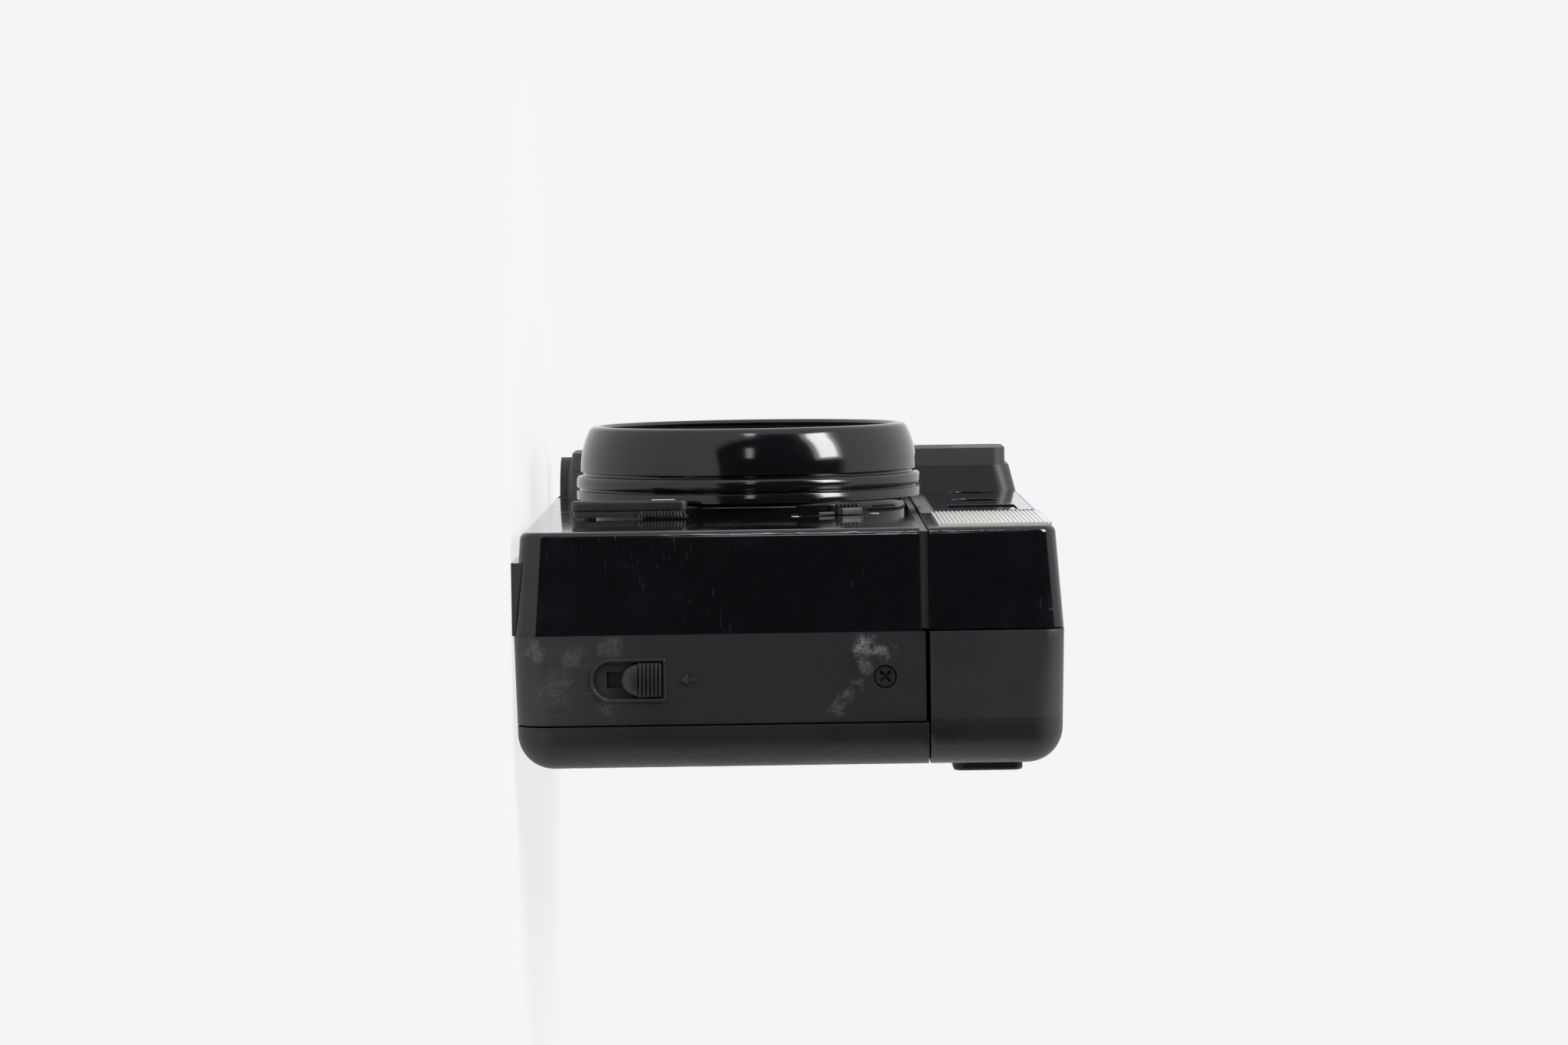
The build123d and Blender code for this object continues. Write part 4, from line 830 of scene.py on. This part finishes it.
flashWindow = {
    "x": (24.1, 57.9), "z": (56.8, 71.9), "front": -20.0, "back": -17.6,
    "margin": 0.45, "ribs": 25, "ribDepth": 0.22, "ribFill": 0.96, "arcSteps": 6,
}


def makeFlashWindow():
    # half-round ribs side by side on the front of the window
    w = flashWindow
    (x0, x1), (z0, z1), front, back = w["x"], w["z"], w["front"], w["back"]
    bm = bmesh.new()
    outline = [(back, z0), (front, z0)]
    pitch = (z1 - z0 - 2 * w["margin"]) / w["ribs"]
    for index in range(w["ribs"]):
        start = z0 + w["margin"] + index * pitch
        for part in range(w["arcSteps"] + 1):
            angle = pi * part / w["arcSteps"]
            along = (1 - w["ribFill"]) / 2 + w["ribFill"] * (1 - cos(angle)) / 2
            outline.append((front + w["ribDepth"] * (1 - sin(angle)), start + pitch * along))
    outline += [(front, z1), (back, z1)]
    face = bm.faces.new([bm.verts.new((x0, y, z)) for y, z in outline])
    lifted = bmesh.ops.extrude_face_region(bm, geom=[face])["geom"]
    moved = [item for item in lifted if isinstance(item, bmesh.types.BMVert)]
    bmesh.ops.translate(bm, vec=(x1 - x0, 0, 0), verts=moved)
    newPiece("flashWindow", bm, "flash_window", sharp=50)


makeFlashWindow()

shutterButton = {
    "place": (-50.0, -12.0, 0.0),
    "profile": [(0.0, 73.5), (1.2, 73.52), (2.4, 73.6), (3.5, 73.73), (4.2, 73.85), (4.6, 73.9),
                (4.95, 73.86), (5.25, 73.74), (5.45, 73.52), (5.56, 73.25), (5.6, 72.95), (5.6, 71.1),
                (1.6, 71.1), (1.6, 68.4), (0.0, 68.4)],
}


def makeShutterButton():
    bm = bmesh.new()
    lathe(bm, shutterButton["place"], (0, 0, 1), shutterButton["profile"], closed=False, steps=96)
    newPiece("shutterButton", bm, "shutter_button")


makeShutterButton()

counterDial = {
    "place": (-30.4, -1.5, 0.0), "radius": 5.4, "top": 71.0, "thickness": 0.8,
    "stem": 0.8, "stemLength": 2.0,
    "numbers": (0, 6, 12, 18, 24, 30, 36), "numberRadius": 3.7, "numberSize": 1.7,
    "ticks": 42, "tickRadius": 5.05, "tickHalf": 0.06, "longTick": 0.7, "shortTick": 0.4, "longEvery": 6,
    "inkHeight": 0.02, "numberLift": 0.015,
}


def makeCounterDial():
    d = counterDial
    cx, cy, _ = d["place"]
    top, radius, stem = d["top"], d["radius"], d["stem"]
    under, end = top - d["thickness"], top - d["stemLength"]
    bm = bmesh.new()
    lathe(bm, d["place"], (0, 0, 1), [(0.0, top), (radius - 0.2, top), (radius - 0.04, top - 0.06),
          (radius, top - 0.2), (radius, under), (stem, under), (stem, end), (0.0, end)],
          closed=False, steps=72)
    newPiece("counterDial", bm, "counter_dial")
    bm = bmesh.new()
    half, ink = d["tickHalf"], d["inkHeight"]
    for index in range(d["ticks"]):
        outer = cx + d["tickRadius"]
        inner = outer - (d["shortTick"] if index % d["longEvery"] else d["longTick"])
        made = brick(bm, (inner, cy - half, top), (outer, cy + half, top + ink), 0.0)
        turnVerts(bm, made, d["place"], "Z", 360 * index / d["ticks"])
    newPiece("counterTicks", bm, "counter_dial", numeralInk, replaces=False, slot="inner_black")
    for index, number in enumerate(d["numbers"]):
        words = bpy.data.curves.new("number", "FONT")
        words.body = str(number)
        words.size = d["numberSize"]
        words.align_x = "CENTER"
        words.align_y = "CENTER"
        words.extrude = ink / 2
        holder = bpy.data.objects.new("number", words)
        bpy.context.scene.collection.objects.link(holder)
        bpy.context.view_layer.update()
        evaluated = holder.evaluated_get(bpy.context.evaluated_depsgraph_get())
        mesh = bpy.data.meshes.new_from_object(evaluated)
        bpy.data.objects.remove(holder)
        angle = 2 * pi * index / len(d["numbers"])
        out = d["numberRadius"]
        place = (cx + out * cos(angle), cy + out * sin(angle), top + d["numberLift"])
        spot = Matrix.Translation(place)
        mesh.transform(Matrix.Scale(mm, 4) @ spot @ Matrix.Rotation(angle + pi, 4, "Z"))
        addPiece("counterNumber%d" % number, mesh, numeralInk, bodyOf["counter_dial"])


makeCounterDial()

seamStrip = {"low": 54.25, "high": 55.3, "front": (60.7, -19.15), "back": (61.7, -6.3), "deep": 0.9}


def makeSeamStrip():
    # matte rib in the groove between the front moulding and the flash lid
    s = seamStrip
    (frontX, frontEdge), (backX, backEdge) = s["front"], s["back"]
    deep = s["deep"]
    outline = [(-backX, backEdge), (-frontX, frontEdge), (frontX, frontEdge), (backX, backEdge),
               (backX - deep, backEdge), (frontX - deep, frontEdge + deep),
               (deep - frontX, frontEdge + deep), (deep - backX, backEdge)]
    bm = bmesh.new()
    lower, upper = [[bm.verts.new((x, y, z)) for x, y in outline] for z in (s["low"], s["high"])]
    for first in range(len(outline)):
        second = (first + 1) % len(outline)
        bm.faces.new([lower[first], lower[second], upper[second], upper[first]])
    for row in (lower, upper):
        for corners in ((0, 1, 6, 7), (1, 2, 5, 6), (2, 3, 4, 5)):
            bm.faces.new([row[corner] for corner in corners])
    newPiece("seamStrip", bm, "front_cover", replaces=False, slot="matte_case")


makeSeamStrip()

readyLamp = {"place": (28.0, 0.0, 63.15), "tip": backY + 1.52, "back": 9.55, "radius": 1.4}


def makeReadyLamp():
    tip, back, radius = readyLamp["tip"], readyLamp["back"], readyLamp["radius"]
    bm = bmesh.new()
    lathe(bm, readyLamp["place"], (0, 1, 0), [(0.0, tip), (0.5, tip - 0.03), (0.9, tip - 0.12),
          (1.2, tip - 0.27), (1.36, tip - 0.5), (radius, tip - 0.75), (radius, back), (0.0, back)],
          closed=False, steps=48)
    newPiece("readyLamp", bm, "ready_lamp")


makeReadyLamp()

tripodSocket = {
    "minor": 2.55, "major": 3.1, "pitch": 1.27, "firstTurn": 0.25, "depth": 4.8, "mouth": 3.3,
    # heights of a tooth's foot and of the two edges of its crest
    "tooth": (0.16, 0.62, 0.76),
    "outer": 4.3, "top": 6.2, "edge": 0.15, "flange": 5.6, "flangeZ": (1.9, 2.9),
}


def makeTripodSocket():
    s = tripodSocket
    minor, major, depth = s["minor"], s["major"], s["depth"]
    outer, top, edge, flange = s["outer"], s["top"], s["edge"], s["flange"]
    under, over = s["flangeZ"]
    profile = [(0.0, top), (outer, top), (outer, over), (flange, over), (flange, under), (outer, under),
               (outer, edge), (outer - edge, 0.0), (s["mouth"], 0.0)]
    foot, crestStart, crestEnd = s["tooth"]
    z = s["firstTurn"]
    while z + s["pitch"] < depth:
        profile += [(minor, z), (minor, z + foot), (major, z + crestStart), (major, z + crestEnd)]
        z += s["pitch"]
    profile += [(minor, z), (minor, depth), (0.0, depth)]
    bm = bmesh.new()
    lathe(bm, (0, 0, 0), (0, 0, 1), profile, closed=False, steps=96)
    newPiece("tripodSocket", bm, "tripod_socket", sharp=25)


makeTripodSocket()
print("small pieces ready")


studio = {
    "floorRadius": 0.105,
    "floorTone": (0.82, 0.82, 0.82),
    # the floor fades into the background from this distance in metres to this share of its radius
    "fadeFrom": 0.045,
    "fadeFull": 0.93,
    "floorGlow": 0.84,
    "mirrorGlow": 0.9,
    "background": (0.90, 0.91, 0.92),
    "cloth": (0.96, 0.98, 1.0),
    "tent": 1.0,
    "darkSide": 0.0,
    "darkFrom": 0.62,
    "darkFull": 0.76,
    "skew": 0.35,
}


def makeFloor():
    bm = bmesh.new()
    bmesh.ops.create_circle(bm, cap_ends=True, radius=studio["floorRadius"], segments=96)
    mesh = bpy.data.meshes.new("floor")
    bm.to_mesh(mesh)
    bm.free()
    floor = bpy.data.objects.new("floor", mesh)
    bpy.context.scene.collection.objects.link(floor)
    f = Finish("paleFloor")
    rays = f.node("ShaderNodeLightPath")
    seen = f.out(rays, "Is Camera Ray")
    mirrored = f.out(rays, "Is Glossy Ray")
    reach = f.distance((0, 0, 0)) * mm
    away = f.step(reach, studio["fadeFrom"], studio["floorRadius"] * studio["fadeFull"])
    matt = f.node("ShaderNodeBsdfDiffuse", Color=studio["floorTone"])
    glow = f.node("ShaderNodeEmission", Color=studio["background"], Strength=1.0)
    base = studio["floorGlow"]
    lift = seen * (base + away * (1 - base)) + mirrored * studio["mirrorGlow"]
    f.blendOf(lift.clamped(), matt, glow)
    mesh.materials.append(f.material)


def makeWorld():
    world = bpy.data.worlds.new("studio")
    bpy.context.scene.world = world
    world.use_nodes = True
    tree = world.node_tree
    tree.nodes.clear()
    output = tree.nodes.new("ShaderNodeOutputWorld")
    rays = tree.nodes.new("ShaderNodeLightPath")
    place = tree.nodes.new("ShaderNodeTexCoord")
    split = tree.nodes.new("ShaderNodeSeparateXYZ")
    tree.links.new(place.outputs["Generated"], split.inputs[0])
    # the room behind the photographer is dark, the white cloth round the other sides is bright
    side = tree.nodes.new("ShaderNodeMapRange")
    side.interpolation_type = "SMOOTHSTEP"
    side.inputs["From Min"].default_value = studio["darkFrom"]
    side.inputs["From Max"].default_value = studio["darkFull"]
    side.inputs["To Min"].default_value = studio["tent"]
    side.inputs["To Max"].default_value = studio["darkSide"]
    toEnd, toTop = Wire(tree, split.outputs[0]), Wire(tree, split.outputs[2])
    join(tree, side.inputs["Value"], toEnd + toTop * studio["skew"])
    lit = tree.nodes.new("ShaderNodeBackground")
    lit.inputs[0].default_value = (*studio["cloth"], 1.0)
    tree.links.new(side.outputs[0], lit.inputs[1])
    back = tree.nodes.new("ShaderNodeBackground")
    back.inputs[0].default_value = (*studio["background"], 1.0)
    mixed = tree.nodes.new("ShaderNodeMixShader")
    tree.links.new(rays.outputs["Is Camera Ray"], mixed.inputs[0])
    tree.links.new(lit.outputs[0], mixed.inputs[1])
    tree.links.new(back.outputs[0], mixed.inputs[2])
    tree.links.new(mixed.outputs[0], output.inputs[0])


softboxes = {
    # place, aim, width, height in metres, and power in watts
    "strip": ((0.375, -0.395, 0.622), (0.0, -0.02, 0.03), 0.19, 0.42, 4.2),
    "stripEdge": ((0.385, -0.405, 0.634), (0.0, -0.02, 0.03), 0.30, 0.50, 1.5),
    "window": ((0.64, -0.79, 0.05), (0.02, -0.02, 0.032), 0.10, 0.14, 0.40),
    "lowWindow": ((0.95, -0.42, 0.05), (0.02, -0.02, 0.032), 0.08, 0.22, 0.25),
}


def makeLights():
    for name, (spot, aim, width, height, watts) in softboxes.items():
        lamp = bpy.data.lights.new(name, "AREA")
        lamp.shape = "RECTANGLE"
        lamp.size = width
        lamp.size_y = height
        lamp.energy = watts
        holder = bpy.data.objects.new(name, lamp)
        bpy.context.scene.collection.objects.link(holder)
        # the lamp's upright side runs along the lens axis
        ahead = (Vector(aim) - Vector(spot)).normalized()
        up = (Vector((0, -1, 0)) - ahead * Vector((0, -1, 0)).dot(ahead)).normalized()
        turn = Matrix((ahead.cross(up), up, -ahead)).transposed().to_4x4()
        holder.matrix_world = Matrix.Translation(spot) @ turn


viewpoint = {
    "distance": 0.660,
    "acrossY": -0.0537,
    "height": 0.0363,
    "pitch": 2.87,
    "roll": 0.85,
    "focalPixels": 6534,
    "frameWidth": 2048,
    "sensor": 36.0,
}


def makeCamera():
    # the front of the object is up in the picture
    v = viewpoint
    lens = bpy.data.cameras.new("camera")
    lens.sensor_width = v["sensor"]
    lens.lens = v["focalPixels"] / v["frameWidth"] * v["sensor"]
    lens.clip_start = 0.01
    holder = bpy.data.objects.new("camera", lens)
    bpy.context.scene.collection.objects.link(holder)
    pitch, roll = radians(v["pitch"]), radians(v["roll"])
    forward = Vector((-cos(pitch), sin(pitch), 0))
    up = Vector((-sin(pitch), -cos(pitch), 0))
    right = forward.cross(up)
    rolledRight = right * cos(roll) - up * sin(roll)
    rolledUp = right * sin(roll) + up * cos(roll)
    turn = Matrix((rolledRight, rolledUp, -forward)).transposed().to_4x4()
    holder.matrix_world = Matrix.Translation((endX * mm + v["distance"], v["acrossY"], v["height"])) @ turn
    bpy.context.scene.camera = holder


makeFloor()
makeWorld()
makeLights()
makeCamera()
bpy.context.scene.view_settings.view_transform = "Standard"
print("studio ready")
